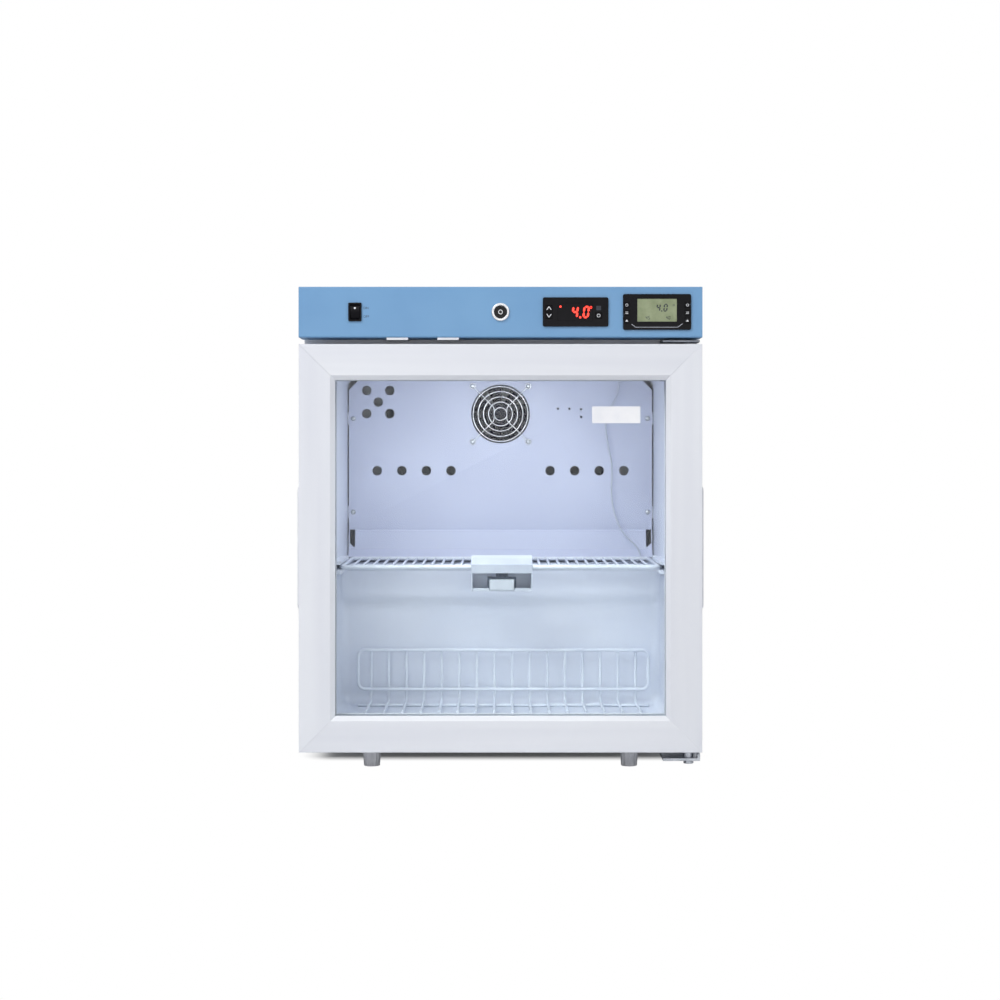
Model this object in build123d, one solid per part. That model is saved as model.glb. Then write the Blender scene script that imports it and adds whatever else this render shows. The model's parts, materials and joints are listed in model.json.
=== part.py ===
from build123d import *
import os
from math import cos, radians, sin, sqrt, tan

# Compact countertop medical refrigerator with a glass door, in millimetres.
# X runs to the viewer's right, Y from the front to the back and Z up.
# The origin is on the floor, under the middle of the whole refrigerator.

# Stack from front to back
bezel_proud = 2.5
door_thickness = 40.0
gasket_gap = 10.0
cabinet_depth = 406.5
condenser_reach = 41.0

# Cabinet shell
cabinet_width = 452.0
cabinet_top = 550.0
foot_height = 26.0
shell_sheet = 1.0
base_sheet = 2.0
bend_radius = 4.0
sheet_gap = 0.3

# Insulation around the cavity and the compressor bay
side_foam = 26.5
floor_foam = 22.0
ceiling_foam = 90.0
upper_back_foam = 56.0
lower_back_foam = 33.5
step_foam = 31.0

# Cavity
liner_wall = 2.0
lower_depth = 165.0
step_height = 170.0
liner_corner = 12.0
liner_profile_corner = 15.0
liner_step_corner = 3.0
liner_flange = 15.0

# Door frame and its glass unit
door_side_gap = 0.2
header_gap = 7.3
door_drop = 1.9
member_width = 40.8
bead_width = 5.5
bead_drop = 4.0
frame_wall = 2.0
glass_setback = 6.0
glass_thickness = 4.0
glass_gap = 12.0
glass_bite = 7.0
glass_edge_gap = 0.8
rear_lip = 3.0
rear_slope = 3.0
dart_width = 3.0
dart_depth = 4.0

# Door gasket, measured inwards from the door's edge
gasket_inset = 15.0
gasket_width = 21.0
gasket_clearance = 0.3

# Recessed hand grips in both edges of the door
grip_length = 137.0
grip_width = 24.0
grip_proud = 2.2
grip_pocket_length = 122.0
grip_pocket_width = 17.0
grip_pocket_depth = 13.0
grip_wall = 1.5

# Hinges
hinge_edge = 13.8
hinge_plate_width = 42.0
hinge_plate = 2.5
pin_diameter = 6.0
pin_clearance = 0.05
bush_wall = 2.4
bush_length = 12.0
bush_flange = 1.0
upper_plate_gap = 2.3
upper_plate_reach = 10.0
hinge_upright_rise = 24.0
hinge_plate_inset = 2.0
hinge_screw_spread = 12.0
upper_screw_rise = 12.0
pin_end_gap = 1.0
pin_collar = 12.0
pin_nut = 10.0
pin_nut_height = 4.5
lower_plate = 3.0
lower_plate_drop = 10.5
lower_plate_setback = 6.5
lower_crank_setback = 4.0
lower_plate_length = 46.0
lower_screw_setback = 18.0
lower_screw_step = 16.0
lower_ear_depth = 14.0
lower_ear_gap = 2.0

# Control header above the door
header_overhang = 2.0
header_height = 57.4
header_sheet = 1.2
panel_proud = 2.2
cutout_clearance = 0.3
controller_body_depth = 38.0
controller_body_step = 4.0
monitor_body_step = 1.6
tab_width = 24.3
tab_places = (111.4, 168.7)
tab_drop = 2.8

# Light switch
switch_place = 63.7
switch_width = 15.0
switch_height = 21.0
switch_rim = 1.8
switch_body_depth = 16.0
rocker_window_width = 11.0
rocker_window_height = 17.0
rocker_tilt = 11.0
rocker_pivot_depth = 2.3
rocker_face = 4.4

# Key lock
lock_x = 0.0
lock_bezel = 20.5
lock_rim = 2.8
lock_recess = 1.0
lock_barrel_diameter = 16.0
lock_barrel_length = 22.0
plug_diameter = 10.9
plug_clearance = 0.05
cam_length = 45.0
cam_width = 12.0
cam_thickness = 2.0
cam_slot_clearance = 1.5
lock_nut_width = 22.0
lock_nut_thickness = 3.0
nut_clearance = 0.05
keyway_outer = 4.4
keyway_inner = 3.0
keyway_depth = 4.0
plug_setback = 0.6
tail_width = 6.0

# Temperature controller
controller_place = 143.3
controller_width = 74.0
controller_height = 33.0
controller_key_width = 7.0
controller_key_height = 6.4
controller_key_pitch = 8.2
controller_key_reach = 26.0
display_recess_width = 39.0
display_recess_shift = 0.5
display_recess_height = 20.0
display_recess_depth = 0.5

# Temperature monitor
monitor_place = 51.4
monitor_width = 76.8
monitor_height = 40.4
monitor_display_width = 44.7
monitor_display_height = 25.9
monitor_display_rise = 2.0
monitor_key_width = 5.6
monitor_key_height = 6.0
monitor_key_pitch = 8.8
monitor_key_reach = 34.2

# Keys
key_clearance = 0.2
key_travel = 0.6
key_body = 2.4
key_proud = 0.25
key_edge = 0.3

# Evaporator cover, measured from the liner's back
cover_space = 77.5
cover_sheet = 1.5
cover_side_gap = 1.6
cover_floor_gap = 6.6
cover_crease_rise = 41.3
cover_lip_rise = 16.2
cover_lean = 3.0
cover_lip_reach = 8.5
cover_chamfer = 14.0
corner_slot_width = 6.8
corner_slot_edge = 8.1
vent_diameter = 12.2
vent_sides = 12
vent_row_rise = 117.0
vent_row_end = 36.4
vent_row_count = 4
vent_row_pitch = 31.6
cluster_place = 37.7
cluster_rise = 205.2
cluster_reach = 14.85
sensor_hole = 3.0
sensor_holes = ((73.8, 196.7), (88.5, 196.7), (103.6, 196.0), (103.6, 186.1))
boss_width = 12.0
boss_height = 16.0
boss_depth = 14.0
cover_screw_inset = 5.6
cover_screw_rises = (63.8, 184.1)

# Evaporator plate with its tube
evaporator_side_gap = 44.9
evaporator_height = 190.0
evaporator_sheet = 1.5
evaporator_tube = 8.0
evaporator_runs = 7
evaporator_standoff = 18.0
evaporator_rise = 14.0

# Fan
fan_rise = 189.9
fan_frame = 80.0
fan_depth = 25.0
fan_bore = 76.6
fan_opening = 75.3
fan_hole_pitch = 71.5
fan_hub = 34.0
fan_shaft = 3.0
fan_shaft_clearance = 0.05
rotor_inset = 3.0
rotor_depth = 14.0
blade_count = 7
blade_tip_gap = 2.5
motor_depth = 6.0
spoke_width = 4.0
guard_wire = 1.6
guard_rings = (35.2, 28.8, 21.9, 15.3, 8.2)
guard_ring_sides = 24
guard_arm_turn = 7.0
guard_eye = 3.4

# Fasteners
screw_head = 6.4
screw_head_height = 2.0
screw_shank = 3.0
screw_length = 8.0
screw_clearance = 0.2

# Wire shelf on its guides
shelf_over_step = 5.6
shelf_front = 50.0
shelf_back_gap = 17.0
shelf_side_gap = 6.0
shelf_rail = 5.0
shelf_wire = 3.0
shelf_wire_count = 31
shelf_cross_places = (45.0, 92.0)
guide_width = 10.5
guide_lip = 4.5
guide_start = 8.0
guide_back_gap = 13.0

# Wire rack on the floor of the cavity
rack_front = 50.0
rack_back_gap = 15.0
rack_side_gap = 17.0
rack_x = 3.4
rack_rod = 4.0
rack_wire = 3.2
rack_top_rise = 70.7
rack_loop_height = 52.0
rack_loop_corner = 10.0
rack_wire_count = 16
rack_wire_inset = 17.5
rack_bend = 6.0

# Bracket with the temperature probe's buffer block, on the front of the shelf
bracket_half = 36.0
bracket_sheet = 1.5
bracket_front_gap = 0.3
bracket_face = 7.0
bracket_rise = 9.5
bracket_slope = 30.0
tray_drop = 27.0
tray_depth = 36.0
tray_lip = 2.5
tray_notch_gap = 0.5
block_x = 1.6
block_width = 29.0
block_height = 12.6
block_front_gap = 0.5
block_back_gap = 0.5
block_corner = 2.0
clip_wall = 2.2
clip_setback = 5.0
clip_depth = 12.0
clip_stem = 14.0

# Probe lead, from the ceiling down in front of the cover and on to the buffer block
lead_diameter = 2.0
lead_route = [
    (152.5, 64.0, 455.5),
    (152.5, 64.0, 438.0),
    (133.0, 65.0, 409.0),
    (137.0, 65.0, 374.0),
    (144.0, 64.0, 345.0),
    (141.0, 65.0, 300.0),
    (154.0, 62.0, 260.0),
    (177.0, 57.5, 241.0),
    (180.0, 56.0, 223.6),
    (160.0, 27.0, 223.6),
    (112.0, 4.0, 223.6),
    (60.0, -10.0, 223.6),
    (22.0, -26.0, 223.6),
    (6.0, -58.0, 217.0),
    (block_x, -92.0, 207.0),
    (block_x, -113.5, 207.0),
]
lead_bend_share = 0.45
grommet_diameter = 9.0
grommet_height = 1.5
lead_hole = 5.0

# Interior lamp
lamp_length = 200.0
lamp_width = 22.0
lamp_height = 8.0
lamp_setback = 14.0

# Feet
front_foot_inset = 77.0
front_foot_setback = 12.5
foot_top = 22.6
foot_bottom = 18.5
foot_ribs = 12
foot_rib_depth = 1.0
stem_diameter = 8.0
stem_clearance = 0.05
stem_height = 10.0
stem_pocket = 14.0
rear_foot_inset = 46.0
rear_foot_setback = 30.0
rear_foot_diameter = 28.0
rear_foot_sides = 16

# Compressor and drip tray
compressor_x = -60.0
compressor_setback = 101.0
compressor_radius = 62.0
compressor_height = 118.0
compressor_seat = 10.0
compressor_shoulder = 18.0
compressor_sides = 32
compressor_mount_pitch = 116.0
mount_diameter = 20.0
terminal_width = 46.0
terminal_depth = 22.0
terminal_height = 52.0
tray_length = 150.0
tray_width = 110.0
tray_height = 18.0
tray_wall = 1.5

# Condenser behind the rear panel
condenser_side_gap = 56.0
condenser_bottom = 222.0
condenser_pitch = 48.0
condenser_runs = 7
condenser_tube = 5.0
condenser_wire = 1.5
condenser_wire_count = 18
condenser_overhang = 12.0
stay_width = 14.0
stay_inset = 30.0

# Cable gland in the compressor base
gland_side_gap = 96.0
gland_inset = 24.0
gland_diameter = 16.0
gland_bore = 8.0

# Places worked out from the sizes above
overall_depth = bezel_proud + door_thickness + gasket_gap + cabinet_depth + condenser_reach
front_y = bezel_proud - overall_depth / 2
door_back_y = front_y + door_thickness
cabinet_front_y = door_back_y + gasket_gap
cabinet_back_y = cabinet_front_y + cabinet_depth
cabinet_half = cabinet_width / 2
base_z = foot_height

header_half = cabinet_half + header_overhang
header_bottom = cabinet_top - header_height
control_z = header_bottom + header_height / 2
panel_y = front_y - panel_proud
switch_x = switch_place - header_half
controller_x = header_half - controller_place
monitor_x = header_half - monitor_place
tab_centres = [place - header_half for place in tab_places]

door_half = header_half - door_side_gap
door_width = 2 * door_half
door_top = header_bottom - header_gap
door_bottom = base_z - door_drop
door_height = door_top - door_bottom
door_mid_z = (door_top + door_bottom) / 2
glass_stack = 2 * glass_thickness + glass_gap
groove_bottom = member_width - glass_bite - glass_edge_gap
gasket_mid = gasket_inset + gasket_width / 2
chamber_inner = groove_bottom - frame_wall
dart_floor = door_thickness - dart_depth - 0.3
chamber_back = dart_floor - frame_wall

liner_half = cabinet_half - side_foam - shell_sheet - liner_wall
liner_floor = base_z + base_sheet + floor_foam + liner_wall
liner_ceiling = cabinet_top - shell_sheet - ceiling_foam - liner_wall
step_z = liner_floor + step_height
lower_back_y = cabinet_front_y + lower_depth
upper_back_y = cabinet_back_y - shell_sheet - upper_back_foam - liner_wall
flange_half = liner_half + liner_flange
flange_bottom = liner_floor - liner_flange
flange_top = liner_ceiling + liner_flange
bay_front_y = lower_back_y + liner_wall + lower_back_foam
bay_top_z = step_z - liner_wall - step_foam

cover_y = upper_back_y - cover_space
cover_half = liner_half - cover_side_gap
cover_bottom = step_z + cover_floor_gap
crease_z = step_z + cover_crease_rise
lip_z = step_z + cover_lip_rise
fan_z = step_z + fan_rise

shelf_z = step_z + shelf_over_step
shelf_y = cabinet_front_y + shelf_front
shelf_length = cover_y - cover_lean - cover_lip_reach - shelf_back_gap - shelf_y
shelf_half = liner_half - shelf_side_gap
rack_loop_half = liner_half - rack_side_gap
rack_wire_half = rack_loop_half - rack_wire_inset

front_foot_x = cabinet_half - front_foot_inset
rear_foot_x = cabinet_half - rear_foot_inset
compressor_y = cabinet_back_y - compressor_setback
condenser_half = cabinet_half - condenser_side_gap
stay_x = condenser_half - stay_inset
gland_x = cabinet_half - gland_side_gap

hinge_x = door_half - hinge_edge
hinge_y = front_y + door_thickness / 2
hinge_plate_x = header_half - hinge_plate_inset - hinge_plate_width / 2
upper_plate_z = header_bottom - upper_plate_gap
lower_plate_z = door_bottom - lower_plate_drop

lock_back_y = front_y + lock_barrel_length
cam_front_y = lock_back_y + sheet_gap
cam_y = cam_front_y + cam_thickness
cam_swing = sqrt(cam_length**2 + (cam_width / 2) ** 2)


def block(x0, x1, y0, y1, z0, z1):
    """A box between two opposite corners."""
    middle = Pos((x0 + x1) / 2, (y0 + y1) / 2, (z0 + z1) / 2)
    return middle * Box(x1 - x0, y1 - y0, z1 - z0)


def prism_x(sketch, x0, x1):
    """Extrude a sketch drawn in Y and Z from x0 to x1."""
    plane = Plane(origin=(x0, 0, 0), x_dir=(0, 1, 0), z_dir=(1, 0, 0))
    return extrude(plane * sketch, amount=x1 - x0)


def prism_y(sketch, y0, y1):
    """Extrude a sketch drawn in X and Z from y0 to y1."""
    plane = Plane(origin=(0, y1, 0), x_dir=(1, 0, 0), z_dir=(0, -1, 0))
    return extrude(plane * sketch, amount=y1 - y0)


def prism_z(sketch, z0, z1):
    """Extrude a sketch drawn in X and Y from z0 to z1."""
    return extrude(Pos(0, 0, z0) * sketch, amount=z1 - z0)


def polygon(points):
    """A flat face with straight sides."""
    return make_face(Polyline(*points, close=True))


def wire_section(diameter):
    """Six-sided section of a wire, with its corners on the round wire's surface."""
    return RegularPolygon(diameter / 2, 6)


def wire_rod(start, end, diameter):
    """A straight wire between two points."""
    direction = Vector(*end) - Vector(*start)
    plane = Plane(origin=start, z_dir=direction)
    return extrude(plane * wire_section(diameter), amount=direction.length)


def round_rod(start, end, diameter):
    """A straight round bar between two points."""
    direction = Vector(*end) - Vector(*start)
    plane = Plane(origin=start, z_dir=direction)
    return extrude(plane * Circle(diameter / 2), amount=direction.length)


def bent_wire(points, bend, diameter):
    """A wire along straight runs, with a short straight across each bend."""
    corners = [Vector(*p) for p in points]
    route = [corners[0]]
    for before, corner, after in zip(corners, corners[1:], corners[2:]):
        route.append(corner + (before - corner).normalized() * bend)
        route.append(corner + (after - corner).normalized() * bend)
    route.append(corners[-1])
    path = Polyline(*route)
    plane = Plane(origin=path @ 0, z_dir=path % 0)
    return sweep(plane * wire_section(diameter), path=path, transition=Transition.RIGHT)


def screw(x, y, z, direction):
    """A screw whose head stands on a surface, with its shank going into it."""
    plane = Plane(origin=(x, y, z), z_dir=direction)
    head = extrude(plane * RegularPolygon(screw_head / 2, 8), amount=screw_head_height)
    shank = extrude(plane * RegularPolygon(screw_shank / 2, 6), amount=-screw_length)
    return head + shank


def screw_hole(x, y, z, direction, depth=screw_length):
    """The clearance hole of a screw, from the surface inwards."""
    plane = Plane(origin=(x, y, z), z_dir=direction)
    radius = screw_shank / 2 + screw_clearance
    return extrude(plane * RegularPolygon(radius, 6), amount=-(depth + 1))


def cabinet_outline(inset):
    """The cabinet's front view, drawn in by a distance, with its two bent top corners."""
    height = cabinet_top - base_z - inset
    face = Pos(0, base_z + height / 2) * Rectangle(cabinet_width - 2 * inset, height)
    top_corners = face.vertices().sort_by(Axis.Y)[-2:]
    return fillet(top_corners, bend_radius - inset)


def side_panel(side):
    """One side of the cabinet: a sheet with its front edge folded in towards the cavity."""
    outer = side * cabinet_half
    inner = side * (cabinet_half - shell_sheet)
    fold = side * (flange_half + sheet_gap)
    top = cabinet_top - bend_radius
    sheet = block(min(outer, inner), max(outer, inner), cabinet_front_y, cabinet_back_y, base_z, top)
    flange = block(
        min(inner, fold), max(inner, fold), cabinet_front_y, cabinet_front_y + shell_sheet, base_z, flange_top
    )
    return sheet + flange


def top_panel():
    """The top sheet with rolled side edges, a front apron and two tabs that carry the header."""
    ring = cabinet_outline(0) - cabinet_outline(shell_sheet)
    cap = Pos(0, cabinet_top - bend_radius / 2) * Rectangle(cabinet_width, bend_radius)
    roof = prism_y(ring & cap, cabinet_front_y, cabinet_back_y)
    apron_height = cabinet_top - flange_top - sheet_gap
    apron_width = cabinet_width - 2 * shell_sheet
    between = Pos(0, cabinet_top - apron_height / 2) * Rectangle(apron_width, apron_height)
    front = cabinet_outline(0) & (between + cap)
    panel = roof + prism_y(front, cabinet_front_y, cabinet_front_y + shell_sheet)
    tab_y = front_y + header_sheet
    for centre in tab_centres:
        left = centre - tab_width / 2
        right = centre + tab_width / 2
        panel += block(left, right, tab_y, cabinet_front_y, header_bottom - header_sheet, header_bottom)
        panel += block(left, right, tab_y, tab_y + shell_sheet, header_bottom - tab_drop, header_bottom)
    for x in upper_hinge_screws():
        panel -= screw_hole(x, cabinet_front_y - hinge_plate, upper_screw_z(), (0, -1, 0))
    return panel


def rear_panel():
    """The flat back sheet above the compressor bay."""
    inner = cabinet_half - shell_sheet
    sheet = prism_y(cabinet_outline(shell_sheet), cabinet_back_y - shell_sheet, cabinet_back_y)
    return sheet & block(-inner, inner, cabinet_front_y, cabinet_back_y, bay_top_z, cabinet_top)


def base_plate():
    """The folded pan under the foam, which climbs over the compressor bay."""
    inner = cabinet_half - shell_sheet
    top = base_z + base_sheet
    pan = block(-inner, inner, cabinet_front_y + shell_sheet, bay_front_y + shell_sheet, base_z, top)
    lip = block(
        -flange_half, flange_half, cabinet_front_y, cabinet_front_y + shell_sheet,
        base_z, flange_bottom - sheet_gap,
    )
    riser = block(-inner, inner, bay_front_y, bay_front_y + shell_sheet, top, bay_top_z)
    roof = block(-inner, inner, bay_front_y, cabinet_back_y, bay_top_z - shell_sheet, bay_top_z)
    plate = pan + lip + riser + roof
    for side in (-1, 1):
        place = Pos(side * front_foot_x, front_foot_y())
        plate -= prism_z(place * Circle(stem_diameter / 2 + stem_clearance), base_z - 1, top + 1)
    for x, y in lower_hinge_screws():
        plate -= screw_hole(x, y, base_z - lower_plate, (0, 0, -1))
    return plate


def compressor_base():
    """The plate that carries the compressor and the rear feet."""
    inner = cabinet_half - shell_sheet
    start = bay_front_y + shell_sheet + sheet_gap
    plate = block(-inner, inner, start, cabinet_back_y, base_z, base_z + base_sheet)
    gland = Pos(gland_x, cabinet_back_y - gland_inset) * Circle(gland_diameter / 2)
    return plate - prism_z(gland, base_z - 1, base_z + base_sheet + 1)


def cavity(grow):
    """The refrigerated space: a tall upper part behind a step, grown outwards by a distance."""
    floor = liner_floor - grow
    ceiling = liner_ceiling + grow
    step = step_z - grow
    low_back = lower_back_y + grow
    high_back = upper_back_y + grow
    face = polygon([
        (cabinet_front_y, floor), (low_back, floor), (low_back, step),
        (high_back, step), (high_back, ceiling), (cabinet_front_y, ceiling),
    ])
    half = liner_half + grow
    return prism_x(face, -half, half)


def rounded_cavity():
    """The refrigerated space with its moulded corners."""
    solid = cavity(0)
    across = [e for e in solid.edges().filter_by(Axis.X) if e.center().Y > cabinet_front_y + 1]
    across.sort(key=lambda e: abs(e.center().Y - lower_back_y) + abs(e.center().Z - step_z))
    solid = fillet(across[1:], liner_profile_corner)
    across = solid.edges().filter_by(Axis.X)
    step_edge = min(across, key=lambda e: abs(e.center().Y - lower_back_y) + abs(e.center().Z - step_z))
    solid = fillet(step_edge, liner_step_corner)
    side_edges = [
        e for e in solid.edges()
        if abs(abs(e.center().X) - liner_half) < 0.01 and e.center().Y > cabinet_front_y + 0.1
    ]
    return fillet(side_edges, liner_corner)


def cover_bosses():
    """Four moulded bosses on the liner's sides that take the evaporator cover's screws."""
    bosses = []
    for side in (-1, 1):
        for rise in cover_screw_rises:
            near = side * (liner_half - boss_width)
            far = side * liner_half
            z = step_z + rise
            boss = block(
                min(near, far), max(near, far),
                cover_y + cover_sheet, cover_y + cover_sheet + boss_depth,
                z - boss_height / 2, z + boss_height / 2,
            )
            hole = screw_hole(cover_screw_x(side), cover_y, z, (0, -1, 0))
            bosses.append(boss - hole)
    return bosses


def inner_liner(hollow, shell):
    """The moulded liner with its front flange and the bosses behind the evaporator cover."""
    flange = block(
        -flange_half, flange_half, cabinet_front_y, cabinet_front_y + liner_wall, flange_bottom, flange_top
    )
    liner = shell + flange - hollow
    for boss in cover_bosses():
        liner += boss
    return liner


def insulation(shell):
    """The foam between the liner and the cabinet, with the compressor bay and foot pockets left out."""
    foam_front = cabinet_front_y + liner_wall
    foam = prism_y(cabinet_outline(shell_sheet), foam_front, cabinet_back_y - shell_sheet)
    foam -= block(
        -cabinet_half, cabinet_half, foam_front - 1, cabinet_back_y, base_z - 1, base_z + base_sheet
    )
    foam -= block(-cabinet_half, cabinet_half, bay_front_y, cabinet_back_y, base_z, bay_top_z)
    for side in (-1, 1):
        place = Pos(side * front_foot_x, front_foot_y())
        foam -= prism_z(place * RegularPolygon(stem_pocket / 2, 8), base_z, base_z + stem_height + 2)
    for x in upper_hinge_screws():
        foam -= screw_hole(x, cabinet_front_y - hinge_plate, upper_screw_z(), (0, -1, 0))
    for x, y in lower_hinge_screws():
        foam -= screw_hole(x, y, base_z - lower_plate, (0, 0, -1))
    return foam - shell


def front_foot_y():
    """Depth of the two levelling feet."""
    return cabinet_front_y + front_foot_setback


def shelf_guides():
    """The pair of grooved guides that hold the shelf's side rails."""
    lip = guide_lip
    low = shelf_z - shelf_rail / 2
    high = shelf_z + shelf_rail / 2 + 1.5
    wall = liner_half - guide_width
    y0 = cabinet_front_y + guide_start + liner_profile_corner
    y1 = lower_back_y - guide_back_gap
    guides = []
    for side in (-1, 1):
        points = [
            (liner_half, low - lip), (wall, low - lip), (wall, low), (liner_half - 2, low),
            (liner_half - 2, high), (wall, high), (wall, high + lip), (liner_half, high + lip),
        ]
        face = polygon([(side * x, z) for x, z in points])
        guides.append(prism_y(face, y0, y1))
    return Compound(guides)


def cover_screw_x(side):
    """Sideways place of the evaporator cover's screws."""
    return side * (cover_half - cover_screw_inset)


def evaporator_cover():
    """The folded panel in front of the evaporator, with its air holes and the fan's opening."""
    top = liner_ceiling - sheet_gap
    lean_y = cover_y - cover_lean
    lip_y = lean_y - cover_lip_reach
    outer = [(cover_y, top), (cover_y, crease_z), (lean_y, lip_z), (lip_y, cover_bottom)]
    back = [(y + cover_sheet, z) for y, z in reversed(outer)]
    panel = prism_x(polygon(outer + back), -cover_half, cover_half)
    reach = cover_sheet + cover_lean + 2
    holes = [Pos(0, fan_z) * Circle(fan_opening / 2)]
    vent = RegularPolygon(vent_diameter / 2, vent_sides)
    for side in (-1, 1):
        for column in range(vent_row_count):
            x = side * (cover_half - vent_row_end - column * vent_row_pitch)
            holes.append(Pos(x, step_z + vent_row_rise) * vent)
    for dx, dz in ((0, 0), (-1, -1), (-1, 1), (1, -1), (1, 1)):
        x = cluster_place - cover_half + dx * cluster_reach
        holes.append(Pos(x, step_z + cluster_rise + dz * cluster_reach) * vent)
    for x, rise in sensor_holes:
        holes.append(Pos(x, step_z + rise) * RegularPolygon(sensor_hole / 2, 8))
    for side in (-1, 1):
        edge = side * cover_half
        holes.append(polygon([
            (edge, top), (edge - side * cover_chamfer, top), (edge, top - cover_chamfer),
        ]))
        slot_x = side * (cover_half - corner_slot_edge)
        near = slot_x + side * corner_slot_width
        holes.append(polygon([
            (slot_x, crease_z), (near, crease_z), (near, lip_z + 8), (slot_x + side * 2, lip_z + 3),
            (slot_x, lip_z + 3),
        ]))
    for hole in holes:
        panel -= prism_y(hole, cover_y - reach, cover_y + reach)
    for x, z in cover_screws() + guard_screws():
        panel -= screw_hole(x, cover_y, z, (0, -1, 0), reach)
    return panel


def cover_screws():
    """Places of the evaporator cover's screws, sideways and up."""
    return [(cover_screw_x(side), step_z + rise) for side in (-1, 1) for rise in cover_screw_rises]


def guard_screws():
    """Places of the fan guard's screws, sideways and up."""
    reach = fan_hole_pitch / 2
    return [(x * reach, fan_z + z * reach) for x in (-1, 1) for z in (-1, 1)]


def evaporator():
    """A plate with one winding tube bonded into it, held off the liner's back by four posts."""
    y = upper_back_y - evaporator_standoff
    bottom = step_z + evaporator_rise
    half = cover_half - evaporator_side_gap
    plate = block(
        -half, half, y - evaporator_sheet / 2, y + evaporator_sheet / 2, bottom, bottom + evaporator_height
    )
    pitch = evaporator_height / evaporator_runs
    reach = half - pitch / 2
    points = []
    for run in range(evaporator_runs):
        side = -1 if run % 2 else 1
        z = bottom + pitch * (run + 0.5)
        points += [(-side * reach, y, z), (side * reach, y, z)]
    tube_y = y - (evaporator_sheet + evaporator_tube) / 2
    tube = bent_wire([(x, tube_y, z) for x, _, z in points], pitch * 0.3, evaporator_tube)
    for side in (-1, 1):
        for z in (bottom + pitch / 2 + 10, bottom + evaporator_height - pitch / 2 - 10):
            post = Pos(side * (half - 5), 0, z) * Rot(90, 0, 0) * Pos(0, 0, -upper_back_y)
            length = evaporator_standoff - evaporator_sheet / 2
            plate += post * extrude(RegularPolygon(4, 6), amount=length)
    return Compound([plate, tube])


def fan_housing():
    """The square fan frame with its bore, its spokes and the motor at the back."""
    front = cover_y + cover_sheet
    back = front + fan_depth
    ring = RectangleRounded(fan_frame, fan_frame, 4) - Circle(fan_bore / 2)
    housing = prism_y(Pos(0, fan_z) * ring, front, back)
    hub = Circle(fan_hub / 2) - Circle(fan_shaft / 2 + fan_shaft_clearance)
    housing += prism_y(Pos(0, fan_z) * hub, back - motor_depth, back)
    spoke_length = (fan_bore - fan_hub) / 2 + 1
    spoke_middle = (fan_bore + fan_hub) / 4
    for spoke in range(4):
        arm = Rot(0, 0, 45 + 90 * spoke) * Pos(spoke_middle, 0) * Rectangle(spoke_length, spoke_width)
        housing += prism_y(Pos(0, fan_z) * arm, back - motor_depth / 2, back)
    for x, z in guard_screws():
        housing -= screw_hole(x, front, z, (0, -1, 0), screw_length)
    return housing


def fan_rotor():
    """The hub with its twisted blades, turning on a shaft in the motor."""
    front = cover_y + cover_sheet + rotor_inset
    middle = front + rotor_depth / 2
    tip = fan_bore / 2 - blade_tip_gap
    root = fan_hub / 2 - 1
    hub = Rot(90, 0, 0) * Cylinder(fan_hub / 2, rotor_depth)
    rotor = chamfer(hub.edges().filter_by(GeomType.CIRCLE).sort_by(Axis.Y)[0], 2)
    for number in range(blade_count):
        sections = []
        for x, chord, pitch in ((root, 15, 48), (tip, 23, 28)):
            across = (0, sin(radians(pitch)), cos(radians(pitch)))
            plane = Plane(origin=(x, 0, 0), x_dir=across, z_dir=(1, 0, 0))
            sections.append(plane * Rectangle(chord, 1.6))
        blade = loft(sections, ruled=True)
        rotor += Rot(0, 360 / blade_count * number, 0) * blade
    shaft_length = fan_depth - rotor_inset - rotor_depth - 1
    shaft_middle = -(rotor_depth + shaft_length) / 2
    shaft = Rot(90, 0, 0) * Pos(0, 0, shaft_middle) * Cylinder(fan_shaft / 2, shaft_length)
    return Pos(0, middle, fan_z) * (rotor + shaft)


def fan_guard():
    """Five wire rings on two bent arms, whose ends are bent into eyes round the screws."""
    arm_y = cover_y - guard_wire / 2
    ring_y = arm_y - guard_wire
    half = guard_wire / 2
    pieces = []
    for radius in guard_rings:
        ring = RegularPolygon(radius + half, guard_ring_sides)
        ring -= RegularPolygon(radius - half, guard_ring_sides)
        pieces.append(prism_y(ring, ring_y - half, ring_y + half))
    reach = fan_hole_pitch / 2
    end = reach - guard_eye * cos(radians(45))
    near = guard_rings[-1]
    for side in (-1, 1):
        points = [
            (side * end, arm_y, end), (side * near, arm_y, near),
            (side * near, arm_y, -near), (side * end, arm_y, -end),
        ]
        pieces.append(bent_wire(points, guard_arm_turn, guard_wire))
        for up in (-1, 1):
            eye = Pos(side * reach, up * reach) * (
                RegularPolygon(guard_eye + half, 8) - RegularPolygon(guard_eye - half, 8)
            )
            pieces.append(prism_y(eye, arm_y - half, arm_y + half))
    return Pos(0, 0, fan_z) * Compound(pieces)


def interior_lamp():
    """The lamp bar under the cavity's ceiling, behind the top of the door."""
    y0 = cabinet_front_y + lamp_setback
    top = liner_ceiling
    profile = polygon([
        (y0, top), (y0, top - lamp_height / 2), (y0 + lamp_height / 2, top - lamp_height),
        (y0 + lamp_width, top - lamp_height / 2), (y0 + lamp_width, top),
    ])
    return prism_x(profile, -lamp_length / 2, lamp_length / 2)


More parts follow.
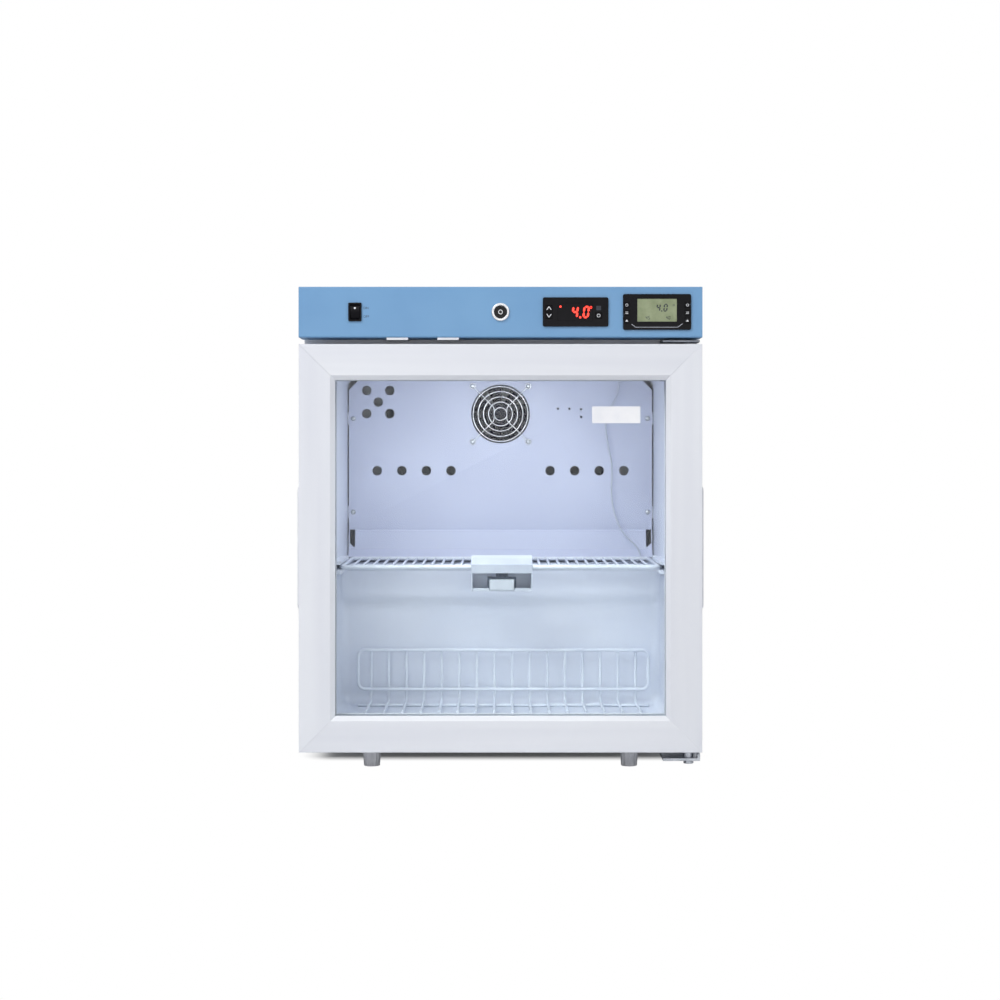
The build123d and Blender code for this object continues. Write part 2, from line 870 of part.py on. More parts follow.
def wire_shelf():
    """The wire shelf: a round frame, closely spaced wires and two rods under them."""
    front = shelf_y
    back = shelf_y + shelf_length
    rail = shelf_rail
    side_x = shelf_half - rail / 2
    pieces = []
    for y in (front, back):
        pieces.append(round_rod((-side_x, y, shelf_z), (side_x, y, shelf_z), rail))
    for side in (-1, 1):
        x = side * side_x
        start = (x, front + rail / 2, shelf_z)
        pieces.append(round_rod(start, (x, back - rail / 2, shelf_z), rail))
    pitch = 2 * side_x / (shelf_wire_count + 1)
    for number in range(1, shelf_wire_count + 1):
        x = -side_x + number * pitch
        start = (x, front + rail / 2, shelf_z)
        pieces.append(wire_rod(start, (x, back - rail / 2, shelf_z), shelf_wire))
    cross_z = shelf_z - (shelf_wire + rail) / 2
    cross_half = liner_half - guide_width - 1.5
    for place in shelf_cross_places:
        y = front + place
        pieces.append(wire_rod((-cross_half, y, cross_z), (cross_half, y, cross_z), rail))
    return Compound(pieces)


def floor_rack():
    """The wire rack on the cavity's floor: bent wires, a standing loop and two floor rods."""
    front = cabinet_front_y + rack_front
    fence = lower_back_y - rack_back_gap
    rod_z = liner_floor + rack_rod / 2
    wire_z = liner_floor + rack_rod + rack_wire / 2
    top = liner_floor + rack_top_rise
    loop_y = fence - (rack_rod + rack_wire) / 2
    loop = RectangleRounded(2 * rack_loop_half, rack_loop_height, rack_loop_corner)
    inner = RectangleRounded(
        2 * (rack_loop_half - rack_rod), rack_loop_height - 2 * rack_rod, rack_loop_corner - rack_rod
    )
    band = Pos(0, top - rack_loop_height / 2) * (loop - inner)
    pieces = [prism_y(band, loop_y - rack_rod / 2, loop_y + rack_rod / 2)]
    for y in (front, fence - rack_bend - rack_rod):
        pieces.append(wire_rod((-rack_loop_half, y, rod_z), (rack_loop_half, y, rod_z), rack_rod))
    pitch = 2 * rack_wire_half / (rack_wire_count - 1)
    for number in range(rack_wire_count):
        x = number * pitch - rack_wire_half
        points = [(x, fence, top), (x, fence, wire_z), (x, front - rack_rod / 2, wire_z)]
        pieces.append(bent_wire(points, rack_bend, rack_wire))
    return Pos(rack_x, 0, 0) * Compound(pieces)


def tray_floor_z():
    """Underside of the bracket's tray."""
    return shelf_z - tray_drop - bracket_sheet


def bracket_front_y():
    """Front of the bracket's face, just clear of the shelf's front rail."""
    return shelf_y - shelf_rail / 2 - bracket_front_gap - bracket_sheet


def bracket_back_y():
    """Back of the bracket's tray."""
    return shelf_y + tray_depth


def probe_bracket():
    """One folded sheet: a sloping label face over the shelf's front and a tray below the shelf."""
    t = bracket_sheet
    face_y = bracket_front_y()
    left = block_x - bracket_half
    right = block_x + bracket_half
    face_bottom = shelf_z - bracket_face
    face_top = shelf_z + shelf_rail / 2 + 1
    slope_y = face_y + bracket_slope
    foot_z = shelf_z + shelf_wire / 2
    outer = [
        (face_y, face_bottom), (face_y, face_top), (slope_y, face_top + bracket_rise),
        (slope_y, foot_z), (slope_y - t, foot_z), (slope_y - t, face_top + bracket_rise - 1.6 * t),
        (face_y + t, face_top - 0.6), (face_y + t, face_bottom),
    ]
    bracket = prism_x(polygon(outer), left, right)
    floor = tray_floor_z()
    back = bracket_back_y()
    tray_front = face_y + t
    roof = shelf_z - shelf_wire / 2 - shelf_rail - 0.5
    bracket += block(left, right, tray_front, back, floor, floor + t)
    notch = block_width / 2 + tray_notch_gap
    for x0, x1 in ((left, block_x - notch), (block_x + notch, right)):
        bracket += block(x0, x1, tray_front, tray_front + t, floor, floor + tray_lip + t)
    bracket += block(left, right, back - t, back, floor, roof)
    for x0, x1 in ((left, left + t), (right - t, right)):
        bracket += block(x0, x1, face_y, back, floor, roof)
    hole = Pos(block_x, lead_route[-1][2]) * RegularPolygon(lead_hole / 2, 6)
    return bracket - prism_y(hole, back - 2 * t, back + t)


def buffer_block():
    """The white block round the temperature probe's tip."""
    floor = tray_floor_z() + bracket_sheet
    front = bracket_front_y() + block_front_gap
    back = bracket_back_y() - bracket_sheet - block_back_gap
    body = Pos(block_x, floor + block_height / 2) * Rectangle(block_width, block_height)
    upper = body.vertices().sort_by(Axis.Y)[-2:]
    return prism_y(fillet(upper, block_corner), front, back)


def block_clip():
    """The dark clip over the buffer block, with a stem up to the shelf."""
    gap = 0.3
    floor = tray_floor_z() + bracket_sheet
    inner_half = block_width / 2 + gap
    top = floor + block_height + gap
    front = bracket_front_y() + bracket_sheet + block_front_gap + clip_setback
    outer = Pos(block_x, (floor + top + clip_wall) / 2) * Rectangle(
        2 * (inner_half + clip_wall), top + clip_wall - floor
    )
    space = Pos(block_x, (floor + top) / 2) * Rectangle(2 * inner_half, top - floor)
    clip = prism_y(outer - space, front, front + clip_depth)
    roof = shelf_z - shelf_wire / 2 - 0.3
    half = clip_stem / 2
    return clip + block(
        block_x - half, block_x + half, front, front + clip_depth, top + clip_wall, roof
    )


def lead_radii():
    """Bend radii of the probe lead, as large as its runs allow."""
    points = [Vector(*p) for p in lead_route]
    radii = []
    for before, corner, after in zip(points, points[1:], points[2:]):
        turn = (corner - before).get_angle(after - corner)
        shorter = min((corner - before).length, (after - corner).length)
        radii.append(lead_bend_share * shorter / tan(radians(turn / 2)))
    return radii


def probe_lead():
    """The thin lead of the temperature probe."""
    radii = lead_radii()
    print("probe lead radii", [round(r, 1) for r in radii])
    path = FilletPolyline(*lead_route, radius=radii)
    plane = Plane(origin=path @ 0, z_dir=path % 0)
    section = plane * wire_section(lead_diameter)
    lead = sweep(section, path=path)
    print("probe lead length", round(path.length, 1))
    print("volume over section times length", round(lead.volume / (section.area * path.length), 4))
    return lead


def cable_grommets():
    """The lead's grommet under the ceiling and the mains gland in the compressor base."""
    x, y, z = lead_route[0]
    grommet = prism_z(
        Pos(x, y) * RegularPolygon(grommet_diameter / 2, 12), liner_ceiling - grommet_height, liner_ceiling
    )
    gland_y = cabinet_back_y - gland_inset
    top = base_z + base_sheet
    stem = Circle(gland_diameter / 2) - Circle(gland_bore / 2)
    flange = RegularPolygon(gland_diameter / 2 + 3, 6) - Circle(gland_bore / 2)
    gland = prism_z(stem, base_z, top) + prism_z(flange, top, top + 4)
    return Compound([grommet, Pos(gland_x, gland_y, 0) * gland])


def header_fascia():
    """The folded header box, open at the back, with the cutouts of its controls."""
    t = header_sheet
    outer = block(-header_half, header_half, front_y, cabinet_front_y, header_bottom, cabinet_top)
    outer = fillet(outer.edges().filter_by(Axis.X).sort_by(Axis.Y)[:2], 2)
    inner = block(
        t - header_half, header_half - t, front_y + t, cabinet_front_y + 1, header_bottom + t, cabinet_top - t
    )
    header = outer - inner
    gap = cutout_clearance
    holes = [
        Pos(switch_x, control_z) * Rectangle(
            switch_width - 2 * switch_rim + 2 * gap, switch_height - 2 * switch_rim + 2 * gap),
        Pos(lock_x, control_z) * Circle(lock_barrel_diameter / 2 + gap),
        Pos(controller_x, control_z) * Rectangle(
            controller_width - controller_body_step + gap, controller_height - controller_body_step + gap),
        Pos(monitor_x, control_z) * Rectangle(
            monitor_width - monitor_body_step + gap, monitor_height - monitor_body_step + gap),
    ]
    for hole in holes:
        header -= prism_y(hole, front_y - 1, front_y + t + 1)
    header -= cam_slot(header_bottom - 1, header_bottom + t + 1, control_z - header_bottom - t)
    notch_half = hinge_plate_width / 2 + 1
    return header - block(
        hinge_plate_x - notch_half, hinge_plate_x + notch_half,
        cabinet_front_y - hinge_plate - 1.5, cabinet_front_y + 1, header_bottom - 1, header_bottom + t + 1,
    )


def cam_slot(z0, z1, drop):
    """The slot that the lock's cam swings down through, at a distance below the lock."""
    reach = sqrt(cam_swing**2 - drop**2) + cam_slot_clearance
    y0 = lock_back_y - cam_slot_clearance
    y1 = cam_y + cam_slot_clearance
    right = lock_x + cam_width / 2 + cam_slot_clearance
    return block(lock_x - reach, right, y0, y1, z0, z1)


def switch_bezel():
    """The switch's rim and body, with the well that the rocker tilts in."""
    body_width = switch_width - 2 * switch_rim
    body_height = switch_height - 2 * switch_rim
    place = Pos(switch_x, control_z)
    rim = prism_y(place * RectangleRounded(switch_width, switch_height, 1.2), panel_y, front_y)
    body = prism_y(place * Rectangle(body_width, body_height), front_y, front_y + switch_body_depth)
    well_back = front_y + rocker_pivot_depth + rocker_window_height / 2
    well = place * Rectangle(rocker_window_width, rocker_window_height)
    return rim + body - prism_y(well, panel_y - 1, well_back)


def switch_rocker():
    """The rocker: a round body cut by two faces that meet along its middle."""
    radius = rocker_window_height / 2 - 0.3
    half = rocker_window_width / 2 - 0.25
    face = Circle(radius)
    for side in (-1, 1):
        beyond = Pos(0, rocker_face + radius) * Rectangle(4 * radius, 2 * radius)
        face -= Rot(0, 0, 90 + side * rocker_tilt) * beyond
    face -= Pos(radius, 0) * Rectangle(2 * (radius - 4), 4 * radius)
    rocker = prism_x(face, -half, half)
    pivot_y = front_y + rocker_pivot_depth
    return Pos(switch_x, pivot_y, control_z) * Rot(rocker_tilt, 0, 0) * rocker


def lock_barrel():
    """The lock's bright bezel and threaded barrel, bored for the plug."""
    place = Pos(lock_x, control_z)
    bore = Circle(plug_diameter / 2 + plug_clearance)
    head = prism_y(place * (Circle(lock_bezel / 2) - bore), front_y - bezel_proud, front_y)
    rim = head.edges().filter_by(GeomType.CIRCLE).group_by(Axis.Y)[0].sort_by(SortBy.RADIUS)[-1]
    head = chamfer(rim, 0.8)
    recess = Circle(lock_bezel / 2 - lock_rim)
    head -= prism_y(place * recess, front_y - bezel_proud - 1, front_y - bezel_proud + lock_recess)
    return head + prism_y(place * (Circle(lock_barrel_diameter / 2) - bore), front_y, lock_back_y)


def lock_plug():
    """The turning plug with its ring-shaped keyway and a square tail for the cam."""
    place = Pos(lock_x, control_z)
    face_y = front_y - bezel_proud + plug_setback
    plug = prism_y(place * Circle(plug_diameter / 2), face_y, lock_back_y)
    ring = Circle(keyway_outer) - Circle(keyway_inner)
    notch = Pos(0, keyway_outer) * Rectangle(2, 2 * plug_diameter / 2 - 2 * keyway_outer)
    for cut in (ring, notch):
        plug -= prism_y(place * cut, face_y - 1, face_y + keyway_depth)
    return plug + prism_y(place * Rectangle(tail_width, tail_width), lock_back_y, cam_y)


def lock_cam():
    """The flat cam, lying to the left while the lock is open."""
    middle = lock_x - cam_length / 2 + cam_width / 4
    cam = Pos(middle, control_z) * Rectangle(cam_length + cam_width / 2, cam_width)
    hole = Pos(lock_x, control_z) * Rectangle(tail_width, tail_width)
    return prism_y(cam - hole, cam_front_y, cam_y)


def key_box(x, z, width, height):
    """One key, standing slightly out of its housing."""
    y0 = panel_y - key_proud
    key = block(
        x - width / 2, x + width / 2, y0, y0 + key_body, z - height / 2, z + height / 2
    )
    return chamfer(key.faces().sort_by(Axis.Y)[0].edges(), key_edge)


def key_pocket(x, z, width, height):
    """The pocket of one key, deep enough for its travel."""
    w = width / 2 + key_clearance
    h = height / 2 + key_clearance
    depth = key_body + key_travel - key_proud + 0.2
    return block(x - w, x + w, panel_y - 1, panel_y + depth, z - h, z + h)


def controller_keys():
    """Names and places of the controller's keys."""
    left = controller_x - controller_key_reach - controller_key_width / 2 - 0.5
    right = controller_x + controller_key_reach
    half = controller_key_pitch / 2
    return {
        "up_key": (left, control_z + half),
        "down_key": (left, control_z - half),
        "set_key": (right, control_z - half),
    }


def monitor_keys():
    """Names and places of the monitor's keys, three on each side of its display."""
    keys = {}
    for side, word in ((-1, "left"), (1, "right")):
        for row, level in ((1, "upper"), (0, "middle"), (-1, "lower")):
            place = (monitor_x + side * monitor_key_reach, control_z - 1 + row * monitor_key_pitch)
            keys[f"monitor_key_{word}_{level}"] = place
    return keys


def panel_housing(x, width, height, step, depth):
    """A panel instrument: a rounded front rim and a smaller body behind the sheet."""
    place = Pos(x, control_z)
    rim = prism_y(place * RectangleRounded(width, height, 2), panel_y, front_y)
    body = prism_y(place * Rectangle(width - step, height - step), front_y, front_y + depth)
    return rim + body


def controller_housing():
    """The temperature controller with its display recess and key pockets."""
    housing = panel_housing(
        controller_x, controller_width, controller_height, controller_body_step, controller_body_depth
    )
    recess = Rectangle(display_recess_width, display_recess_height)
    recess = Pos(controller_x - display_recess_shift, control_z) * recess
    housing -= prism_y(recess, panel_y - 1, panel_y + display_recess_depth)
    for x, z in controller_keys().values():
        housing -= key_pocket(x, z, controller_key_width, controller_key_height)
    return housing


def monitor_display_z():
    """Height of the middle of the monitor's display."""
    return control_z + monitor_display_rise


def monitor_housing():
    """The temperature monitor with its display window and key pockets."""
    housing = panel_housing(
        monitor_x, monitor_width, monitor_height, monitor_body_step, controller_body_depth / 2
    )
    window = Pos(monitor_x, monitor_display_z()) * Rectangle(monitor_display_width, monitor_display_height)
    housing -= prism_y(window, panel_y - 1, panel_y + 3)
    for x, z in monitor_keys().values():
        housing -= key_pocket(x, z, monitor_key_width, monitor_key_height)
    return housing


def monitor_display():
    """The glass of the monitor's display, a little below the rim."""
    glass = Rectangle(monitor_display_width - 0.2, monitor_display_height - 0.2)
    return prism_y(Pos(monitor_x, monitor_display_z()) * glass, panel_y + 0.6, panel_y + 3)


def member_profile():
    """Section of the door frame, inwards from the door's edge and back from its face."""
    w = member_width
    t = door_thickness
    seat = glass_setback + glass_stack
    shape = polygon([
        (0, 0), (w - bead_width, 0), (w, bead_drop), (w, glass_setback), (groove_bottom, glass_setback),
        (groove_bottom, seat), (w, seat), (w, seat + rear_lip), (w - rear_slope, t), (0, t),
    ])
    wall = frame_wall
    half = (chamber_inner - wall) / 2
    depth = chamber_back - wall
    shape -= Pos(wall + half, wall + depth / 2) * Rectangle(2 * half, depth)
    groove_depth = t - dart_floor
    return shape - Pos(gasket_mid, t - groove_depth / 2) * Rectangle(dart_width + 0.6, groove_depth)


def gasket_profile():
    """Section of the door gasket, with its dart in the frame's groove and its magnet bulb."""
    t = door_thickness
    face = t + gasket_gap - gasket_clearance
    half = gasket_width / 2
    m = gasket_mid
    dart = dart_width / 2
    return polygon([
        (m - dart, t), (m - dart, t - dart_depth), (m + dart, t - dart_depth), (m + dart, t),
        (m + half - 4, t), (m + half - 6, t + 3), (m + half - 3, t + 6), (m + half - 5, face),
        (m - half + 3, face), (m - half, t + 7), (m - half + 2, t + 3), (m - half + 4, t),
    ])


def mitred_bar(profile, length):
    """A bar along X at the bottom of the door, cut at 45 degrees at both ends."""
    plane = Plane(origin=(-length / 2, 0, 0), x_dir=(0, 0, 1), z_dir=(1, 0, 0))
    bar = extrude(plane * mirror(profile, about=Plane.XZ), amount=length)
    deep = member_width + 10
    half = length / 2
    mitre = polygon([(-half, 0), (half, 0), (half - deep, deep), (deep - half, deep)])
    return bar & prism_y(mitre, -1, door_thickness + gasket_gap + 1)


def door_side(profile, angle):
    """A mitred bar turned to one side of the door: 0 bottom, 90 hinge side, 180 top, 270 grip side."""
    upright = angle % 180 == 90
    length = door_height if upright else door_width
    reach = door_half if upright else door_height / 2
    turn = Rot(0, -angle, 0)
    return Pos(0, front_y, door_mid_z) * turn * Pos(0, 0, -reach) * mitred_bar(profile, length)


def bush_bore():
    """Radius of the holes in the door frame that take the hinge bushes."""
    return pin_diameter / 2 + pin_clearance + bush_wall


def door_top_rail():
    """The frame's top member, with the hinge bush's hole and the slot for the lock's cam."""
    rail = door_side(member_profile(), 180)
    hole = Pos(hinge_x, hinge_y) * Circle(bush_bore())
    rail -= prism_z(hole, door_top - frame_wall - 1, door_top + 1)
    return rail - cam_slot(door_top - frame_wall - 1, door_top + 1, control_z - door_top)


def door_bottom_rail():
    """The frame's bottom member, with the lower hinge bush's hole."""
    rail = door_side(member_profile(), 0)
    hole = Pos(hinge_x, hinge_y) * Circle(bush_bore())
    return rail - prism_z(hole, door_bottom - 1, door_bottom + frame_wall + 1)


def door_stile(angle):
    """An upright member, with the cutout for its hand grip."""
    side = 1 if angle == 90 else -1
    stile = door_side(member_profile(), angle)
    length = grip_pocket_length / 2 + grip_wall + 0.2
    width = grip_pocket_width / 2 + grip_wall + 0.2
    edge = side * door_half
    inner = side * (door_half - frame_wall - 1)
    return stile - block(
        min(edge, inner), max(edge, inner) + 1 * (side > 0), hinge_y - width, hinge_y + width,
        door_mid_z - length, door_mid_z + length,
    )


def glass_pane(depth):
    """One pane of the door's glass unit, at a depth behind the door's face."""
    reach = member_width - glass_bite
    half = door_half - reach
    y = front_y + depth
    return block(-half, half, y, y + glass_thickness, door_bottom + reach, door_top - reach)


def glass_spacer():
    """The spacer frame that keeps the two panes apart."""
    reach = member_width - glass_bite + 0.5
    outer = Rectangle(door_width - 2 * reach, door_height - 2 * reach)
    band = 6.0
    inner = Rectangle(door_width - 2 * (reach + band), door_height - 2 * (reach + band))
    y = front_y + glass_setback + glass_thickness
    return prism_y(Pos(0, door_mid_z) * (outer - inner), y, y + glass_gap)


def door_grips():
    """A recessed grip in each edge of the door."""
    grips = []
    pocket = Rectangle(grip_pocket_length, grip_pocket_width)
    cup = Rectangle(grip_pocket_length + 2 * grip_wall, grip_pocket_width + 2 * grip_wall)
    flange = chamfer(Rectangle(grip_length, grip_width).vertices(), 4)
    for side in (-1, 1):
        plane = Plane(origin=(side * door_half, hinge_y, door_mid_z), x_dir=(0, 0, 1), z_dir=(side, 0, 0))
        rim = extrude(plane * flange, amount=grip_proud)
        body = extrude(plane * cup, amount=-(grip_pocket_depth + grip_wall))
        hollow = extrude(plane.offset(grip_proud + 1) * pocket, amount=-(grip_pocket_depth + grip_proud + 1))
        grips.append(rim + body - hollow)
    return Compound(grips)


def hinge_bushes():
    """The flanged bushes in the door's top and bottom edges."""
    bore = Circle(pin_diameter / 2 + pin_clearance)
    sleeve = RegularPolygon(bush_bore(), 16) - bore
    flange = RegularPolygon(bush_bore() + 2.5, 16) - bore
    place = Pos(hinge_x, hinge_y)
    upper = prism_z(place * sleeve, door_top - bush_length, door_top)
    upper += prism_z(place * flange, door_top, door_top + bush_flange)
    lower = prism_z(place * sleeve, door_bottom, door_bottom + bush_length)
    lower += prism_z(place * flange, door_bottom - bush_flange, door_bottom)
    return Compound([upper, lower])


def upper_hinge_screws():
    """Sideways places of the upper hinge's screws."""
    return [hinge_plate_x - hinge_screw_spread, hinge_plate_x + hinge_screw_spread]


def upper_screw_z():
    """Height of the upper hinge's screws, inside the header."""
    return header_bottom + upper_screw_rise


def upper_hinge():
    """The upper hinge: an angle behind the header whose plate holds the pin over the door."""
    half = hinge_plate_width / 2
    x0 = hinge_plate_x - half
    x1 = hinge_plate_x + half
    plate_y = hinge_y - upper_plate_reach
    plate = block(
        x0, x1, plate_y, cabinet_front_y, upper_plate_z - hinge_plate, upper_plate_z
    )
    upright = block(
        x0, x1, cabinet_front_y - hinge_plate, cabinet_front_y,
        upper_plate_z - hinge_plate, header_bottom + hinge_upright_rise,
    )
    pin_bottom = door_top - bush_length + pin_end_gap
    pin = prism_z(Pos(hinge_x, hinge_y) * Circle(pin_diameter / 2), pin_bottom, upper_plate_z)
    hinge = plate + upright + pin
    for x in upper_hinge_screws():
        hinge -= screw_hole(x, cabinet_front_y - hinge_plate, upper_screw_z(), (0, -1, 0))
    return hinge


def lower_hinge_screws():
    """Places of the lower hinge's screws under the cabinet."""
    y = cabinet_front_y + lower_screw_setback
    spread = hinge_screw_spread
    return [(hinge_plate_x - spread, y), (hinge_plate_x + spread, y), (hinge_plate_x, y + lower_screw_step)]


def lower_hinge():
    """The lower hinge: a cranked plate under the cabinet with the pin that carries the door."""
    half = hinge_plate_width / 2
    x0 = hinge_plate_x - half
    x1 = hinge_plate_x + half
    z = lower_plate_z
    t = lower_plate
    front = front_y + lower_plate_setback
    rise_y = cabinet_front_y + lower_crank_setback
    back = cabinet_front_y + lower_plate_length
    points = [
        (front, z), (rise_y + t, z), (rise_y + t, base_z - t), (back, base_z - t), (back, base_z),
        (rise_y, base_z), (rise_y, z + t), (front, z + t),
    ]
    hinge = prism_x(polygon(points), x0, x1)
    hinge += block(x1 - t, x1, front, front + lower_ear_depth, z + t, door_bottom - lower_ear_gap)
    pin = Pos(hinge_x, hinge_y)
    pin_top = door_bottom + bush_length - pin_end_gap
    hinge += prism_z(pin * Circle(pin_diameter / 2), z - pin_nut_height, pin_top)
    hinge += prism_z(pin * Circle(pin_collar / 2), z + t, door_bottom - bush_flange - sheet_gap)
    for x, y in lower_hinge_screws():
        hinge -= screw_hole(x, y, base_z - t, (0, 0, -1))
    return hinge


def screws():
    """The screws of the evaporator cover, the fan guard and the hinges."""
    pieces = []
    for x, z in cover_screws():
        pieces.append(screw(x, cover_y, z, (0, -1, 0)))
    guard_y = cover_y - guard_wire
    for x, z in guard_screws():
        pieces.append(screw(x, guard_y, z, (0, -1, 0)))
    for x in upper_hinge_screws():
        pieces.append(screw(x, cabinet_front_y - hinge_plate, upper_screw_z(), (0, -1, 0)))
    for x, y in lower_hinge_screws():
        pieces.append(screw(x, y, base_z - lower_plate, (0, 0, -1)))
    return Compound(pieces)


def nuts():
    """The lock barrel's nut behind the header and the lower hinge pin's nut."""
    lock_y = front_y + header_sheet
    hexagon = RegularPolygon(lock_nut_width / 2, 6, major_radius=False)
    lock_nut = Pos(lock_x, control_z) * (hexagon - Circle(lock_barrel_diameter / 2 + nut_clearance))
    hexagon = RegularPolygon(pin_nut / 2, 6, major_radius=False)
    hinge_nut = Pos(hinge_x, hinge_y) * (hexagon - Circle(pin_diameter / 2 + nut_clearance))
    z = lower_plate_z
    return Compound([
        prism_y(lock_nut, lock_y, lock_y + lock_nut_thickness),
        prism_z(hinge_nut, z - pin_nut_height, z),
    ])


def front_foot(side):
    """A levelling foot: a ribbed, tapered knob on a stem through the base plate."""
    top = foot_top / 2
    bottom = foot_bottom / 2
    outline = []
    for step in range(2 * foot_ribs):
        angle = 180 / foot_ribs * step
        radius = top - foot_rib_depth * (step % 2)
        outline.append((radius * cos(radians(angle)), radius * sin(radians(angle))))
    height = foot_height - 0.3
    share = bottom / top
    lower = [(x * share, y * share) for x, y in outline]
    knob = loft([polygon(lower), Pos(0, 0, height) * polygon(outline)], ruled=True)
    stem = Pos(0, 0, height) * extrude(Circle(stem_diameter / 2), amount=stem_height + 0.3)
    return Pos(side * front_foot_x, front_foot_y(), 0) * (knob + stem)


def rear_feet():
    """Two plain rubber feet under the compressor base."""
    y = cabinet_back_y - rear_foot_setback
    feet = []
    for side in (-1, 1):
        foot = extrude(RegularPolygon(rear_foot_diameter / 2, rear_foot_sides), amount=foot_height)
        feet.append(Pos(side * rear_foot_x, y, 0) * foot)
    return Compound(feet)


def compressor():
    """The sealed compressor on its mounting rail, with rubber mounts and a terminal box."""
    base = base_z + base_sheet
    bottom = base + compressor_seat
    r = compressor_radius
    top = compressor_height - compressor_seat
    body = extrude(RegularPolygon(r, compressor_sides), amount=top)
    body = chamfer(body.faces().sort_by(Axis.Z)[-1].edges(), compressor_shoulder)
    body = Pos(compressor_x, compressor_y, bottom) * chamfer(body.faces().sort_by(Axis.Z)[0].edges(), 12)
    half = compressor_mount_pitch / 2
    rail = block(
        compressor_x - half - 10, compressor_x + half + 10, compressor_y - 24, compressor_y + 24,
        bottom - 3, bottom + 1,
    )
    body += rail
    for side in (-1, 1):
        for depth in (-1, 1):
            mount = Pos(compressor_x + side * half, compressor_y + depth * 14)
            body += prism_z(mount * RegularPolygon(mount_diameter / 2, 8), base, bottom - 3)
    side_x = compressor_x + r
    box_z = bottom + 26
    box = block(
        side_x - 8, side_x + terminal_depth, compressor_y - terminal_width / 2,
        compressor_y + terminal_width / 2, box_z, box_z + terminal_height,
    )
    return body + box


def drip_tray():
    """The open tray on top of the compressor, where meltwater dries off."""
    z = base_z + base_sheet + compressor_height
    half_x = tray_length / 2
    half_y = tray_width / 2
    outer = block(
        compressor_x - half_x, compressor_x + half_x, compressor_y - half_y, compressor_y + half_y,
        z, z + tray_height,
    )
    t = tray_wall
    return outer - block(
        compressor_x - half_x + t, compressor_x + half_x - t,
        compressor_y - half_y + t, compressor_y + half_y - t, z + t, z + tray_height + 1,
    )


def condenser():
    """The winding condenser tube, its upright wires and the four stays on the rear panel."""
    wire_y = cabinet_back_y + condenser_reach - condenser_wire / 2
    tube_y = wire_y - (condenser_wire + condenser_tube) / 2
    points = []
    for run in range(condenser_runs):
        side = -1 if run % 2 else 1
        z = condenser_bottom + condenser_pitch * run
        points += [(-side * condenser_half, tube_y, z), (side * condenser_half, tube_y, z)]
    pieces = [bent_wire(points, condenser_pitch * 0.3, condenser_tube)]
    top = condenser_bottom + condenser_pitch * (condenser_runs - 1)
    reach = condenser_half - condenser_pitch * 0.5
    pitch = 2 * reach / (condenser_wire_count - 1)
    for number in range(condenser_wire_count):
        x = -reach + number * pitch
        start = (x, wire_y, condenser_bottom - condenser_overhang)
        pieces.append(wire_rod(start, (x, wire_y, top + condenser_overhang), condenser_wire))
    tube_front = tube_y - condenser_tube / 2
    for side in (-1, 1):
        for z in (condenser_bottom, top):
            x = side * stay_x
            pieces.append(block(
                x - stay_width / 2, x + stay_width / 2, cabinet_back_y, tube_front, z - 1, z + 1,
            ))
    return Compound(pieces)


def build_nodes():
    """Every piece of the refrigerator, by name."""
    shell = cavity(liner_wall)
    profile_gasket = gasket_profile()
    nodes = {
        "left_side_panel": side_panel(-1),
        "right_side_panel": side_panel(1),
        "top_panel": top_panel(),
        "rear_panel": rear_panel(),
        "base_plate": base_plate(),
        "compressor_base": compressor_base(),
        "insulation": insulation(shell),
        "inner_liner": inner_liner(rounded_cavity(), shell),
        "shelf_guides": shelf_guides(),
        "evaporator_cover": evaporator_cover(),
        "evaporator": evaporator(),
        "fan_housing": fan_housing(),
        "fan_rotor": fan_rotor(),
        "fan_guard": fan_guard(),
        "interior_lamp": interior_lamp(),
        "wire_shelf": wire_shelf(),
        "floor_rack": floor_rack(),
        "probe_bracket": probe_bracket(),
        "buffer_block": buffer_block(),
        "block_clip": block_clip(),
        "probe_lead": probe_lead(),
        "cable_grommets": cable_grommets(),
        "header_fascia": header_fascia(),
        "switch_bezel": switch_bezel(),
        "switch_rocker": switch_rocker(),
        "lock_barrel": lock_barrel(),
        "lock_plug": lock_plug(),
        "lock_cam": lock_cam(),
        "controller_housing": controller_housing(),
        "monitor_housing": monitor_housing(),
        "monitor_display": monitor_display(),
        "door_top_rail": door_top_rail(),
        "door_bottom_rail": door_bottom_rail(),
        "door_hinge_stile": door_stile(90),
        "door_grip_stile": door_stile(270),
        "outer_glass": glass_pane(glass_setback),
        "inner_glass": glass_pane(glass_setback + glass_thickness + glass_gap),
        "glass_spacer": glass_spacer(),
        "door_gasket": Compound([door_side(profile_gasket, angle) for angle in (0, 90, 180, 270)]),
        "door_grips": door_grips(),
        "hinge_bushes": hinge_bushes(),
        "upper_hinge": upper_hinge(),
        "lower_hinge": lower_hinge(),
        "screws": screws(),
        "nuts": nuts(),
        "left_front_foot": front_foot(-1),
        "right_front_foot": front_foot(1),
        "rear_feet": rear_feet(),
        "compressor": compressor(),
        "drip_tray": drip_tray(),
        "condenser": condenser(),
    }
    for name, (x, z) in controller_keys().items():
        nodes[name] = key_box(x, z, controller_key_width, controller_key_height)
    for name, (x, z) in monitor_keys().items():
        nodes[name] = key_box(x, z, monitor_key_width, monitor_key_height)
    return nodes


os.makedirs("parts", exist_ok=True)
for node_name, node_shape in build_nodes().items():
    export_step(node_shape, f"parts/{node_name}.step")
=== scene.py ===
import json
from math import atan2, cos, pi, radians, sin, tan

import bmesh
import bpy
from mathutils import Matrix, Vector


